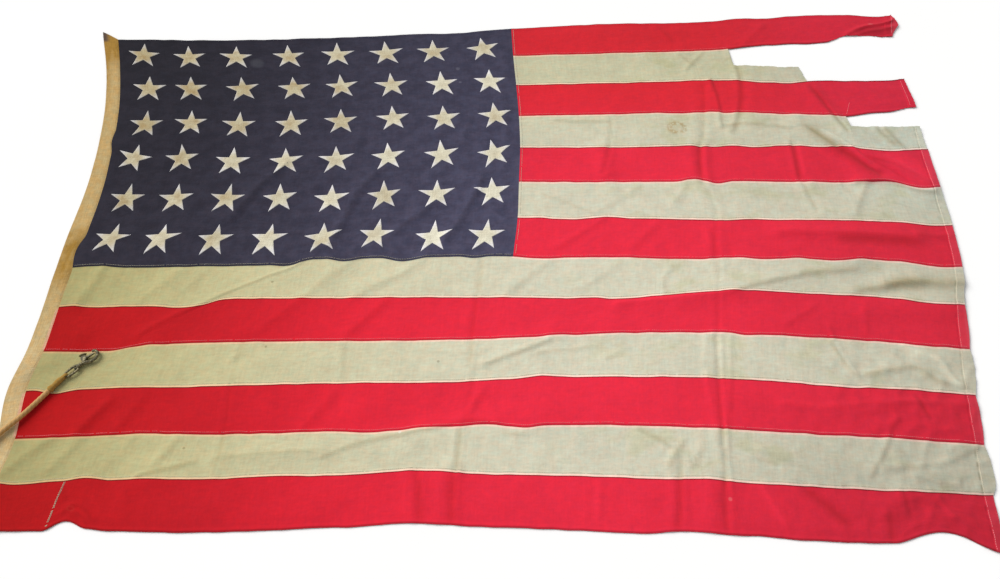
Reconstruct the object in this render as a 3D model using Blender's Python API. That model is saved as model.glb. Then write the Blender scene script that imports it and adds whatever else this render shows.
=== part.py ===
"""Tattered flag of forty-eight stars laid flat, with its canvas heading, cord and swivel snap hook.

Flag measures are millimetres on the cloth. along runs from the heading's seam to the fly, and seam
counts stripe heights down from the top edge, so seam 3.5 is half way down the fourth stripe.
World axes are metres: +X towards the fly, +Y towards the top edge, +Z up, and the floor is z = 0.
"""
import math

import bpy
import numpy as np

MM = 0.001

# Driving dimensions, millimetres.
STRIPE = 82.0
STRIPES = 13
CANTON_STRIPES = 7
CANTON_LENGTH = 810.0
FLY_LENGTH = 1600.0
HEADING_WIDTH = 30.0
CLOTH = 1.2
FLY_HEM = 2.2
FLY_HEM_WIDTH = 18.0
HEADING = 2.6
SLEEVE = 10.4
GAP = 0.3
CORD_DIAMETER = 9.0
CENTRE = (775.55, 548.99)

# Where the uneven cloth's upright edges cross each seam, millimetres right of the plumb line:
# the heading's outer edge, the hoist seam, the canton's fly edge and the fly.
UPRIGHTS = (
    (-68, -36, 805, 1622),
    (-46, -17, 808, 1612),
    (-31, -2, 813, 1614),
    (-23, 6, 817, 1619),
    (-21, 9, 819, 1619),
    (-26, 7, 816, 1625),
    (-36, -1, 811, 1623),
    (-43, -11, 800, 1620),
    (-48, -19, 792, 1606),
    (-57, -26, 785, 1593),
    (-73, -40, 779, 1582),
    (-68, -38, 776, 1569),
    (-69, -48, 770, 1563),
    (-74, -47, 769, 1546),
)

# How far each seam hangs below its true line, at these lengths along the cloth.
DROP_STATIONS = (0, 420, 810, 1000, 1200, 1400, 1600)
DROPS = (
    (25, 29, 10, 0, -2, -16, -16),
    (22, 24, 6, 2, -3, -17, -34),
    (20, 18, 2, 0, -4, 0, -2),
    (17, 14, 0, -1, -5, 7, -2),
    (14, 10, -3, -1, -3, 6, 14),
    (12, 6, -4, 0, 1, 7, 19),
    (10, 3, -4, 0, 7, 10, 24),
    (-2, -1, -2, 4, 9, 11, 30),
    (-3, -3, 0, 5, -8, 5, 26),
    (3, 2, 0, -6, -4, 10, 32),
    (6, 0, -4, -7, -1, 18, 35),
    (9, 5, -3, -2, 8, 24, 40),
    (1, -4, -3, 4, 15, 29, 40),
    (-3, 1, 0, 10, 21, 32, 49),
)

# The slack that hangs lower on the hoist side of one slanting line: (seam, along), and how deep.
SLACK_LINE = ((7, 415), (8, 272), (9, 137), (10, 55))
SLACK_DROP = 12.0
SLACK_BLEND = 40.0

# Folds: name, half width, height, and the crest's path as (along, seam) points.
FOLDS = (
    ("long_crease", 26, 7.0,
     ((1199, 1.8), (1174, 4.1), (1165, 5.5), (1179, 8.2), (1179, 11.0), (1173, 12.9))),
    ("canton_crease", 24, 4.5, ((742, 3.4), (749, 5.9), (747, 9.0), (748, 12.9))),
    ("hoist_diagonal", 48, 7.0, ((175, 8.7), (253, 8.0), (353, 7.5), (500, 7.0))),
    ("lower_diagonal", 44, 5.5, ((214, 12.0), (400, 11.5), (553, 11.35), (740, 11.0), (880, 10.9))),
    ("middle_diagonal", 40, 4.5, ((701, 9.8), (886, 8.95), (990, 8.8))),
    ("fly_diagonal", 52, 9.0, ((1074, 8.25), (1144, 8.1), (1231, 7.8), (1301, 7.5), (1410, 7.0))),
    ("tail_pull", 38, 8.0, ((1354, 3.3), (1449, 4.05), (1463, 4.7))),
    ("fly_pull", 40, 7.5, ((1435, 3.2), (1488, 4.0), (1575, 5.0))),
    ("stepped_edge_pull", 34, 4.5, ((1395, 2.2), (1430, 3.4))),
    ("fly_roll", 44, 6.5, ((1440, 8.2), (1575, 7.95))),
    ("short_crease", 30, 4.0, ((965, 4.1), (983, 5.2))),
    ("foot_crease", 26, 3.5, ((704, 12.2), (706, 12.8))),
    ("foot_crease_far", 30, 4.0, ((1109, 11.8), (1106, 12.7))),
    ("fly_crumple", 40, 5.0, ((1470, 10.2), (1560, 10.9))),
    ("fly_foot_crumple", 38, 5.0, ((1430, 12.3), (1530, 11.6))),
    ("canton_pull", 46, 3.5, ((150, 6.4), (330, 5.2), (420, 4.1))),
)

# Torn stripes: the cut side, where the cut starts, how much of the stripe is gone there and at the
# end, and how far along the stripe's upper and lower corners reach.
TORN = {
    1: {"side": "lower", "cut": 1450.0, "gone": (0.10, 0.02), "ends": (1603.0, 1594.0)},
    2: {"side": "upper", "cut": 1256.0, "gone": (0.46, 0.56), "ends": (1392.0, 1401.0)},
    3: {"side": "lower", "cut": 1590.0, "gone": (0.0, 0.08), "ends": (1598.0, 1604.0)},
    4: {"side": "upper", "cut": 1459.0, "gone": (0.33, 0.46), "ends": (1595.0, 1598.0)},
}
TEAR_RUN = 6.0

# Scallops worn into the bottom edge: middle, half width, depth.
SCALLOPS = ((122.0, 34.0, 12.0), (1516.0, 70.0, 30.0))

# Grid lines along the cloth and across one stripe.
COLUMNS_TO_CREASE = 17
COLUMNS_TO_LONG_CREASE = 9
COLUMNS_TO_FLY = 10
ROWS_IN_STRIPE = 3
CREASE_HALF = 12.0

# The cord's route from the heading's foot to the hook: right of the plumb line, below the top, up.
CORD_ROUTE = (
    (-60.0, 1063.8, 5.2),
    (-60.0, 1072.0, 5.0),
    (-63.0, 1084.0, 4.7),
    (-71.0, 1097.0, 4.6),
    (-85.0, 1105.0, 4.6),
    (-101.0, 1104.0, 4.6),
    (-114.0, 1094.0, 4.6),
    (-121.0, 1078.0, 4.6),
    (-123.0, 1058.0, 4.6),
    (-120.0, 1036.0, 4.6),
    (-115.0, 1013.0, 4.6),
    (-108.0, 990.0, 4.6),
    (-100.0, 967.0, 4.7),
    (-89.0, 943.0, 5.4),
    (-77.0, 922.0, 7.2),
    (-63.0, 904.0, 8.2),
    (-49.0, 889.5, 8.2),
    (-33.5, 873.0, 7.6),
    (-14.0, 848.5, 6.6),
    (3.5, 825.5, 6.2),
    (14.0, 811.6, 6.2),
    (22.8, 802.2, 6.2),
)
CORD_STEP = 20.0

# The snap hook, along its own axis from the eye's far end and left of it.
HOOK_START = (23.0, 802.0)
HOOK_TURN = math.radians(43.2)
HOOK_LIFT = 6.2
EYE_MIDDLE = 14.6
EYE_HALF_LENGTH = 12.6
EYE_HALF_WIDTH = 5.4
EYE_ROD = 2.0
COLLAR = (25.4, 31.6, 4.0)
STEM_BORE = 2.1
PIVOT = (42.0, 5.0)
CHEEK_RADIUS = 5.0
CHEEK_HALF = 4.0
SLOT_HALF = 2.0
SLOT_OUTLINE = ((37.4, 0.7), (52.0, 0.7), (52.0, 14.0), (37.4, 14.0))
PIN_RADIUS = 1.3
PIN_BORE = 1.6
GATE_HALF = 1.7

# Shank: along the axis, left of it, and the bar's radius there. It starts with the swivel's head.
SHANK = (
    (19.6, 0.0, 2.1),
    (20.0, 0.0, 2.5),
    (22.0, 0.0, 2.5),
    (22.4, 0.0, 1.8),
    (31.9, 0.0, 1.8),
    (32.1, 0.0, 3.9),
    (34.0, 0.0, 3.9),
    (36.5, -0.4, 3.4),
    (40.0, -2.0, 3.9),
    (44.0, -4.8, 3.5),
    (48.0, -6.9, 2.9),
    (52.5, -7.7, 2.6),
    (57.0, -7.7, 2.6),
    (61.2, -6.4, 2.6),
    (64.4, -3.5, 2.6),
    (65.9, 0.5, 2.5),
    (65.2, 4.6, 2.4),
    (62.6, 7.4, 2.2),
    (59.6, 8.2, 1.9),
)

# Gate outline round its pivot, up its thumb lever, and out along its arm.
GATE_OUTLINE = (
    (38.2, 6.3),
    (38.4, 3.4),
    (40.3, 1.4),
    (43.0, 1.2),
    (46.5, 2.9),
    (59.8, 1.9),
    (60.9, 3.1),
    (59.8, 4.6),
    (48.0, 6.1),
    (46.3, 8.4),
    (46.6, 12.4),
    (42.0, 13.2),
    (40.0, 9.6),
)
THUMB_PAD = (44.2, 13.2, -18.0)
THUMB_PAD_HALF = (6.6, 2.3, 4.2)

COLOURS = {
    "red_bunting": (0.52, 0.022, 0.045),
    "white_bunting": (0.58, 0.58, 0.42),
    "navy_bunting": (0.033, 0.036, 0.085),
    "tan_canvas": (0.52, 0.38, 0.19),
    "tan_cord": (0.45, 0.28, 0.11),
    "dark_iron": (0.10, 0.095, 0.08),
}


def clear_scene():
    for thing in list(bpy.data.objects):
        bpy.data.objects.remove(thing, do_unlink=True)


def material(name):
    """A plain Principled material in the piece's colour; only the iron is metal."""
    made = bpy.data.materials.get(name)
    if made is None:
        made = bpy.data.materials.new(name)
        made.use_nodes = True
        shader = made.node_tree.nodes["Principled BSDF"]
        shader.inputs["Base Color"].default_value = (*COLOURS[name], 1.0)
        shader.inputs["Metallic"].default_value = 0.9 if name == "dark_iron" else 0.0
        shader.inputs["Roughness"].default_value = 0.5 if name == "dark_iron" else 0.9
    return made


def add_object(name, vertices, faces, finish):
    """Link a mesh object whose vertices are given in metres."""
    mesh = bpy.data.meshes.new(name)
    mesh.from_pydata([tuple(point) for point in vertices], [], [tuple(face) for face in faces])
    mesh.update()
    made = bpy.data.objects.new(name, mesh)
    made.data.materials.append(material(finish))
    bpy.context.scene.collection.objects.link(made)
    return made


def smooth(knots, values, at):
    """Cubic through values at the knots; a table of values has a column for each point of at."""
    knots = np.asarray(knots, float)
    slopes = np.gradient(values, knots, axis=0)
    cell = np.clip(np.searchsorted(knots, at) - 1, 0, len(knots) - 2)
    step = knots[cell + 1] - knots[cell]
    u = (at - knots[cell]) / step

    def pick(table, row):
        return table[row] if table.ndim == 1 else np.take_along_axis(table, row[None], axis=0)[0]

    start = (2 * u**3 - 3 * u**2 + 1) * pick(values, cell) + (u**3 - 2 * u**2 + u) * step * pick(slopes, cell)
    end = (3 * u**2 - 2 * u**3) * pick(values, cell + 1) + (u**3 - u**2) * step * pick(slopes, cell + 1)
    return start + end


def ramp(value):
    """Smooth step from 0 to 1."""
    value = np.clip(value, 0.0, 1.0)
    return value * value * (3.0 - 2.0 * value)


def cloth_place(along, seam):
    """Millimetres right of the plumb line and below the top of points on the uneven cloth."""
    along, seam = np.broadcast_arrays(np.asarray(along, float), np.asarray(seam, float))
    seams = np.arange(STRIPES + 1)
    uprights = np.asarray(UPRIGHTS, float)
    outer, hoist, canton_edge, fly = (smooth(seams, column, seam) for column in uprights.T)
    in_heading = hoist + (hoist - outer) * along / HEADING_WIDTH
    in_canton = hoist + (canton_edge - hoist) * along / CANTON_LENGTH
    past_canton = canton_edge + (fly - canton_edge) * (along - CANTON_LENGTH) / (FLY_LENGTH - CANTON_LENGTH)
    right = np.where(along < 0.0, in_heading, np.where(along < CANTON_LENGTH, in_canton, past_canton))

    drops = np.asarray(DROPS, float)
    at_stations = np.stack([smooth(seams, column, seam) for column in drops.T])
    drop = smooth(DROP_STATIONS, at_stations, along)
    line_seam, line_along = zip(*SLACK_LINE)
    slack = 0.5 + 0.5 * np.tanh((np.interp(seam, line_seam, line_along) - along) / SLACK_BLEND)
    drop = drop + SLACK_DROP * slack * ramp((seam - 6.3) / 0.7) * ramp(11.0 - seam)
    for middle, half, depth in SCALLOPS:
        bite = np.clip(1.0 - ((along - middle) / half) ** 2, 0.0, 1.0) ** 2
        drop = drop - depth * bite * ramp(seam - STRIPES + 1.0)
    return right, STRIPE * seam + drop


def relief(along, seam):
    """Height of the cloth's underside: each fold is a rounded ridge round its crest's path."""
    along, seam = np.broadcast_arrays(np.asarray(along, float), np.asarray(seam, float))
    point = np.stack([along, seam * STRIPE], axis=-1)
    height = np.zeros(along.shape)
    for _name, half, crest, path in FOLDS:
        corners = np.array([(at, seam_at * STRIPE) for at, seam_at in path])
        nearest = np.full(along.shape, np.inf)
        for a, b in zip(corners[:-1], corners[1:]):
            share = np.clip(((point - a) @ (b - a)) / ((b - a) @ (b - a)), 0.0, 1.0)
            nearest = np.minimum(nearest, np.linalg.norm(point - a - share[..., None] * (b - a), axis=-1))
        height = np.maximum(height, crest * np.clip(1.0 - (nearest / half) ** 2, 0.0, 1.0) ** 2)
    return height


def columns_at(seam, start, end, extra=()):
    """Grid stations from start to end that gather along the two long creases."""
    path_of = {fold[0]: fold[3] for fold in FOLDS}
    canton_along, canton_seam = zip(*path_of["canton_crease"])
    long_along, long_seam = zip(*path_of["long_crease"])
    canton_crease = np.interp(seam, canton_seam, canton_along)
    long_crease = np.interp(seam, long_seam, long_along)
    stations = np.concatenate([
        np.linspace(0.0, canton_crease - CREASE_HALF, COLUMNS_TO_CREASE),
        [canton_crease, canton_crease + CREASE_HALF, CANTON_LENGTH],
        np.linspace(CANTON_LENGTH, long_crease - CREASE_HALF, COLUMNS_TO_LONG_CREASE)[1:],
        [long_crease, long_crease + CREASE_HALF],
        np.linspace(long_crease + CREASE_HALF, FLY_LENGTH - FLY_HEM_WIDTH, COLUMNS_TO_FLY)[1:],
        [FLY_LENGTH],
    ])
    inside = stations[(stations > start + 4.0) & (stations < end - 4.0)]
    return np.sort(np.concatenate([[start], inside, extra, [end]]))


def sheet_mesh(name, along, seam, thickness, finish):
    """A closed sheet over a grid: its underside follows the folds and its top lies above it."""
    right, down = cloth_place(along, seam)
    under = relief(along, seam)
    rows, columns = under.shape
    plan = np.stack([(right - CENTRE[0]) * MM, (CENTRE[1] - down) * MM], axis=-1)
    top = np.concatenate([plan, ((under + thickness) * MM)[..., None]], axis=-1).reshape(-1, 3)
    bottom = np.concatenate([plan, (under * MM)[..., None]], axis=-1).reshape(-1, 3)

    index = np.arange(rows * columns).reshape(rows, columns)
    a, b, c, d = index[:-1, :-1], index[1:, :-1], index[1:, 1:], index[:-1, 1:]
    upper = np.concatenate([np.stack([a, b, c], -1).reshape(-1, 3), np.stack([a, c, d], -1).reshape(-1, 3)])
    rim = np.concatenate([index[0, :], index[1:, -1], index[-1, -2::-1], index[-2:0:-1, 0]])
    following = np.roll(rim, -1)
    below = rows * columns
    walls = np.concatenate([
        np.stack([rim, following, following + below], -1),
        np.stack([rim, following + below, rim + below], -1),
    ])
    faces = np.concatenate([upper, upper[:, ::-1] + below, walls])
    return add_object(name, np.concatenate([top, bottom]), faces, finish)


def fly_thickness(along):
    """Cloth that is doubled in the turned hem along the fly."""
    return np.where(along > FLY_LENGTH - FLY_HEM_WIDTH - 0.1, FLY_HEM, CLOTH)


def stripe_edges(number, along):
    """Upper and lower seam of a stripe along its length, with its tear."""
    upper = np.full(along.shape, number - 1.0)
    lower = np.full(along.shape, float(number))
    tear = TORN.get(number)
    if tear:
        end = max(tear["ends"])
        share = np.clip((along - tear["cut"]) / (end - tear["cut"]), 0.0, 1.0)
        gone = tear["gone"][0] + (tear["gone"][1] - tear["gone"][0]) * share
        gone = gone * np.clip((along - tear["cut"]) / TEAR_RUN, 0.0, 1.0)
        if tear["side"] == "upper":
            upper = upper + gone
        else:
            lower = lower - gone
    return upper, lower


def stripe(number):
    """One stripe from the canton or the heading to the fly, red when odd."""
    half_gap = GAP / 2.0
    start = half_gap + (CANTON_LENGTH if number <= CANTON_STRIPES else 0.0)
    tear = TORN.get(number)
    ends = tear["ends"] if tear else (FLY_LENGTH, FLY_LENGTH)
    extra = (tear["cut"], tear["cut"] + TEAR_RUN) if tear and tear["side"] == "upper" else ()
    rows = []
    seams = []
    for share in np.linspace(0.0, 1.0, ROWS_IN_STRIPE + 1):
        end = ends[0] + (ends[1] - ends[0]) * share
        along = columns_at(number - 1.0 + share, start, end, extra)
        upper, lower = stripe_edges(number, along)
        upper = upper + half_gap / STRIPE * (number > 1)
        lower = lower - half_gap / STRIPE * (number < STRIPES)
        rows.append(along)
        seams.append(upper + (lower - upper) * share)
    along = np.array(rows)
    seam = np.array(seams)
    finish = "red_bunting" if number % 2 else "white_bunting"
    return sheet_mesh(f"stripe_{number:02d}", along, seam, fly_thickness(along), finish)


def canton():
    """The navy field, as deep as seven stripes."""
    half_gap = GAP / 2.0
    lines = np.linspace(0.0, CANTON_STRIPES, CANTON_STRIPES * ROWS_IN_STRIPE + 1)
    along = np.array([columns_at(line, half_gap, CANTON_LENGTH - half_gap) for line in lines])
    lines[-1] -= half_gap / STRIPE
    seam = np.repeat(lines[:, None], along.shape[1], axis=1)
    return sheet_mesh("canton", along, seam, CLOTH, "navy_bunting")


def heading():
    """Canvas tape along the hoist, opened at its foot into a sleeve round the cord's end."""
    across = np.array([-HEADING_WIDTH, -20.0, -10.0, -GAP / 2.0])
    lines = np.linspace(0.0, STRIPES, STRIPES * ROWS_IN_STRIPE + 1)
    along = np.repeat(across[None, :], len(lines), axis=0)
    seam = np.repeat(lines[:, None], len(across), axis=1)
    seam[0] += (-0.28, -0.20, -0.12, -0.04)
    middle = np.array([0.0, 1.0, 1.0, 0.0])
    thickness = HEADING + (SLEEVE - HEADING) * ramp((seam - 12.2) / 0.7) * middle
    return sheet_mesh("heading", along, seam, thickness, "tan_canvas")


def cord_points():
    """Points every CORD_STEP along a smooth curve through the route, in metres."""
    route = np.array(CORD_ROUTE)
    reach = np.concatenate([[0.0], np.cumsum(np.linalg.norm(np.diff(route, axis=0), axis=1))])
    at = np.linspace(0.0, reach[-1], int(round(reach[-1] / CORD_STEP)) + 1)
    right, down, up = (smooth(reach, route[:, axis], at) for axis in range(3))
    return np.stack([(right - CENTRE[0]) * MM, (CENTRE[1] - down) * MM, up * MM], axis=-1)


def cord():
    """The cord's free run as a round tube with closed ends."""
    curve = bpy.data.curves.new("cord", "CURVE")
    curve.dimensions = "3D"
    curve.bevel_depth = CORD_DIAMETER / 2.0 * MM
    curve.bevel_resolution = 3
    curve.use_fill_caps = True
    points = cord_points()
    spline = curve.splines.new("POLY")
    spline.points.add(len(points) - 1)
    for target, point in zip(spline.points, points):
        target.co = (*point, 1.0)
    made = bpy.data.objects.new("cord", curve)
    curve.materials.append(material("tan_cord"))
    bpy.context.scene.collection.objects.link(made)
    return made


def on_hook(along, left, up=0.0):
    """World metres of a point in the hook's own plane."""
    cosine, sine = math.cos(HOOK_TURN), math.sin(HOOK_TURN)
    x = HOOK_START[0] - CENTRE[0] + along * cosine - left * sine
    y = CENTRE[1] - HOOK_START[1] + along * sine + left * cosine
    return np.array([x, y, HOOK_LIFT + up]) * MM


def bar_mesh(name, line, radii, sides, closed, finish):
    """A round bar along a flat line: rings square to the line, capped unless it closes."""
    line = np.asarray(line, float)
    ahead = np.roll(line, -1, axis=0) - line
    behind = line - np.roll(line, 1, axis=0)
    if not closed:
        ahead[-1] = behind[-1]
        behind[0] = ahead[0]
    ahead = ahead / np.linalg.norm(ahead, axis=1)[:, None]
    behind = behind / np.linalg.norm(behind, axis=1)[:, None]
    tangent = ahead + behind
    tangent = tangent / np.linalg.norm(tangent, axis=1)[:, None]
    normal = np.stack([-tangent[:, 1], tangent[:, 0]], axis=-1)
    angle = np.arange(sides) * 2.0 * math.pi / sides
    rings = []
    for centre, sideways, radius in zip(line, normal, radii):
        offset = np.cos(angle)[:, None] * sideways * radius
        rings.append([on_hook(*(centre + shift), radius * s) for shift, s in zip(offset, np.sin(angle))])
    vertices = np.array(rings).reshape(-1, 3)
    count = len(line)
    faces = []
    for ring in range(count if closed else count - 1):
        for side in range(sides):
            next_ring, next_side = (ring + 1) % count, (side + 1) % sides
            faces.append((ring * sides + side, ring * sides + next_side,
                          next_ring * sides + next_side, next_ring * sides + side))
    if not closed:
        faces.append(tuple(reversed(range(sides))))
        faces.append(tuple(range((count - 1) * sides, count * sides)))
    return add_object(name, vertices, faces, finish)


def slab_mesh(name, outline, half, finish):
    """A flat plate: an outline in the hook's plane, as thick as twice half."""
    count = len(outline)
    vertices = [on_hook(*point, -half) for point in outline] + [on_hook(*point, half) for point in outline]
    walls = [(side, (side + 1) % count, (side + 1) % count + count, side + count) for side in range(count)]
    faces = [tuple(reversed(range(count))), tuple(range(count, 2 * count)), *walls]
    return add_object(name, vertices, faces, finish)


def disc_outline(centre, radius, sides):
    return [(centre[0] + radius * math.cos(2.0 * math.pi * k / sides),
             centre[1] + radius * math.sin(2.0 * math.pi * k / sides)) for k in range(sides)]


def combine(target, tool, operation):
    """Add or cut one closed mesh with another, which stays hidden as a guide."""
    change = target.modifiers.new(tool.name, "BOOLEAN")
    change.operation = operation
    change.solver = "EXACT"
    change.object = tool
    tool.hide_render = True
    tool.display_type = "WIRE"


def snap_eye():
    """The swivel's oval eye with the collar that the hook's stem turns in."""
    segments = 28
    squared = 0.7
    turn = np.arange(segments) * 2.0 * math.pi / segments
    line = np.stack([
        EYE_MIDDLE + EYE_HALF_LENGTH * np.sign(np.cos(turn)) * np.abs(np.cos(turn)) ** squared,
        EYE_HALF_WIDTH * np.sign(np.sin(turn)) * np.abs(np.sin(turn)) ** squared,
    ], axis=-1)
    eye = bar_mesh("snap_eye", line, [EYE_ROD] * len(line), 10, True, "dark_iron")
    start, end, radius = COLLAR
    collar = bar_mesh("collar_guide", [(start, 0.0), (end, 0.0)], [radius] * 2, 20, False, "dark_iron")
    bore_line = [(start - 4.0, 0.0), (end + 4.0, 0.0)]
    bore = bar_mesh("bore_guide", bore_line, [STEM_BORE] * 2, 20, False, "dark_iron")
    combine(eye, collar, "UNION")
    combine(eye, bore, "DIFFERENCE")
    return eye


def snap_hook():
    """The hook: its headed stem, shank and bend in one bar, with two cheeks and the gate's pin."""
    line = [(along, left) for along, left, _radius in SHANK]
    hook = bar_mesh("snap_hook", line, [radius for _along, _left, radius in SHANK], 14, False, "dark_iron")
    cheeks = slab_mesh("cheek_guide", disc_outline(PIVOT, CHEEK_RADIUS, 20), CHEEK_HALF, "dark_iron")
    slot = slab_mesh("slot_guide", SLOT_OUTLINE, SLOT_HALF, "dark_iron")
    pin = slab_mesh("pin_guide", disc_outline(PIVOT, PIN_RADIUS, 12), CHEEK_HALF - 0.2, "dark_iron")
    combine(hook, cheeks, "UNION")
    combine(hook, slot, "DIFFERENCE")
    combine(hook, pin, "UNION")
    return hook


def snap_gate():
    """The sprung gate: an arm that shuts the jaw and a thumb pad, pinned between the cheeks."""
    gate = slab_mesh("snap_gate", GATE_OUTLINE, GATE_HALF, "dark_iron")
    middle_along, middle_left, lean = THUMB_PAD
    cosine, sine = math.cos(math.radians(lean)), math.sin(math.radians(lean))
    half_along, half_left, half_up = THUMB_PAD_HALF
    steps = np.linspace(0.0, math.pi, 9)
    offsets = [-half_along * math.cos(step) for step in steps]
    line = [(middle_along + offset * cosine, middle_left + offset * sine) for offset in offsets]
    radii = [half_left * max(math.sin(step), 0.25) for step in steps]
    pad = bar_mesh("pad_guide", line, radii, 12, False, "dark_iron")
    stretch = half_up / half_left
    for vertex in pad.data.vertices:
        vertex.co.z = HOOK_LIFT * MM + (vertex.co.z - HOOK_LIFT * MM) * stretch
    hole = slab_mesh("hole_guide", disc_outline(PIVOT, PIN_BORE, 16), GATE_HALF + 1.0, "dark_iron")
    combine(gate, pad, "UNION")
    combine(gate, hole, "DIFFERENCE")
    return gate


def main():
    clear_scene()
    for number in range(1, STRIPES + 1):
        stripe(number)
    canton()
    heading()
    cord()
    snap_eye()
    snap_hook()
    snap_gate()


main()
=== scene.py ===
"""Tattered flag of forty-eight stars, laid flat: sewn bunting, canvas heading, halyard and snap hook.

Cloth measures are millimetres. along runs from the heading's seam to the fly, and seam counts
stripe heights down from the top edge. World places are metres, in the frame of the CAD part.
"""
import math

import bpy
import numpy as np
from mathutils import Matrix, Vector

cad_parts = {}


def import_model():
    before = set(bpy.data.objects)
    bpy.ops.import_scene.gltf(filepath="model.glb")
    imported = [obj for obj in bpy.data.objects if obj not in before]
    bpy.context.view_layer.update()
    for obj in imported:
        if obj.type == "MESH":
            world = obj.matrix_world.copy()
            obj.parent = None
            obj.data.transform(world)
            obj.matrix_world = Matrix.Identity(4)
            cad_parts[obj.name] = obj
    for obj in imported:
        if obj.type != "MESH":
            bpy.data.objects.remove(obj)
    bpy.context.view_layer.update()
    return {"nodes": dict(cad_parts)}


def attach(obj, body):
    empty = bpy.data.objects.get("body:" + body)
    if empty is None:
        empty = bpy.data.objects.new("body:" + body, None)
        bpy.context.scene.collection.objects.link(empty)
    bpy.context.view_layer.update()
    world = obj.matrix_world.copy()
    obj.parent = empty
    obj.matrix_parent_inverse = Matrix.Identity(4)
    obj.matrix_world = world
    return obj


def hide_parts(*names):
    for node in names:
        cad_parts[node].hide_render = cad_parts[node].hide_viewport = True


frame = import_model()

bl_info = {
    "name": "Tattered Flag",
    "version": (1, 0, 0),
    "blender": (4, 5, 0),
    "location": "3D View > Sidebar > Flag",
    "description": "Lays out a worn, hand-sewn flag with its stars, heading, halyard and snap hook",
    "category": "Add Mesh",
}

MM = 0.001
TURN = 2.0 * math.pi

# The flag's layout, millimetres: the CAD part's, with its edges, slack and fly trimmed a little.
# The tables of the edges, seams and stars below are measured ones, rounded to whole millimetres and
# degrees.
STRIPE = 82.0
STRIPES = 13
CANTON_STRIPES = 7
CANTON_LENGTH = 810.0
FLY_LENGTH = 1600.0
HEADING_WIDTH = 30.0
FLY_HEM_WIDTH = 14.5
SLEEVE = 11.8
CENTRE = (775.55, 548.99)

# Where the uneven cloth's upright edges cross each seam, millimetres right of the plumb line:
# the heading's outer edge, the hoist seam, the canton's fly edge and the fly.
UPRIGHTS = (
    (-68, -36, 805, 1622),
    (-46, -17, 808, 1612),
    (-31, -2, 813, 1613),
    (-23, 6, 817, 1619),
    (-21, 9, 818, 1618),
    (-26, 7, 814, 1620),
    (-36, -1, 810, 1622),
    (-43, -11, 800, 1618),
    (-48, -19, 792, 1602),
    (-57, -26, 785, 1589),
    (-73, -40, 779, 1577),
    (-68, -38, 776, 1569),
    (-69, -48, 770, 1562),
    (-74, -47, 769, 1558),
)

# How far each seam hangs below its true line, at these lengths along the cloth.
DROP_STATIONS = (0, 420, 810, 1000, 1200, 1400, 1600)
DROPS = (
    (25, 29, 10, 0, -2, -16, -16),
    (22, 24, 6, 2, -3, -17, -34),
    (20, 18, 2, 0, -4, 0, -2),
    (17, 14, 0, -1, -5, 7, -2),
    (14, 10, -3, -1, -3, 6, 14),
    (12, 6, -4, 0, 1, 7, 19),
    (10, 3, -4, 0, 7, 10, 24),
    (-2, -1, -2, 4, 9, 11, 30),
    (-3, -3, 0, 5, -8, 5, 26),
    (3, 2, 0, -6, -4, 10, 32),
    (6, 0, -4, -7, -1, 18, 35),
    (9, 5, -3, -2, 8, 24, 40),
    (1, -4, -3, 4, 15, 29, 40),
    (-3, 1, 0, 10, 21, 32, 49),
)

# The slack that hangs lower on the hoist side of one slanting line: (seam, along), and how deep.
SLACK_LINE = ((7, 415), (8, 272), (9, 137), (10, 55))
SLACK_DROP = 12.0
SLACK_BLEND = 22.0

# Where the hoist seam bulges towards the heading: seam, half width in seams, and how far.
HOIST_FLARES = ((6.6, 0.5, 7.0), (3.4, 0.4, 4.0))

# Broad folds that the worn cloth keeps: half width, height, and the crest's (along, seam) points.
FOLDS = (
    (48, 1.05, ((175, 8.7), (253, 8.0), (353, 7.5), (500, 7.0))),
    (44, 1.65, ((214, 12.0), (400, 11.5), (553, 11.35), (740, 11.0), (880, 10.9))),
    (40, 1.35, ((701, 9.8), (886, 8.95), (990, 8.8))),
    (52, 1.8, ((1074, 8.25), (1144, 8.1), (1231, 7.8), (1301, 7.5), (1410, 7.0))),
    (38, 4.0, ((1354, 3.3), (1449, 4.05), (1463, 4.7))),
    (40, 3.75, ((1435, 3.2), (1488, 4.0), (1575, 5.0))),
    (34, 2.25, ((1395, 2.2), (1430, 3.4))),
    (44, 3.25, ((1440, 8.2), (1575, 7.95))),
    (30, 2.0, ((965, 4.1), (983, 5.2))),
    (40, 2.5, ((1470, 10.2), (1560, 10.9))),
    (38, 2.5, ((1430, 12.3), (1530, 11.6))),
    (46, 1.75, ((150, 6.4), (330, 5.2), (420, 4.1))),
)

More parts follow.
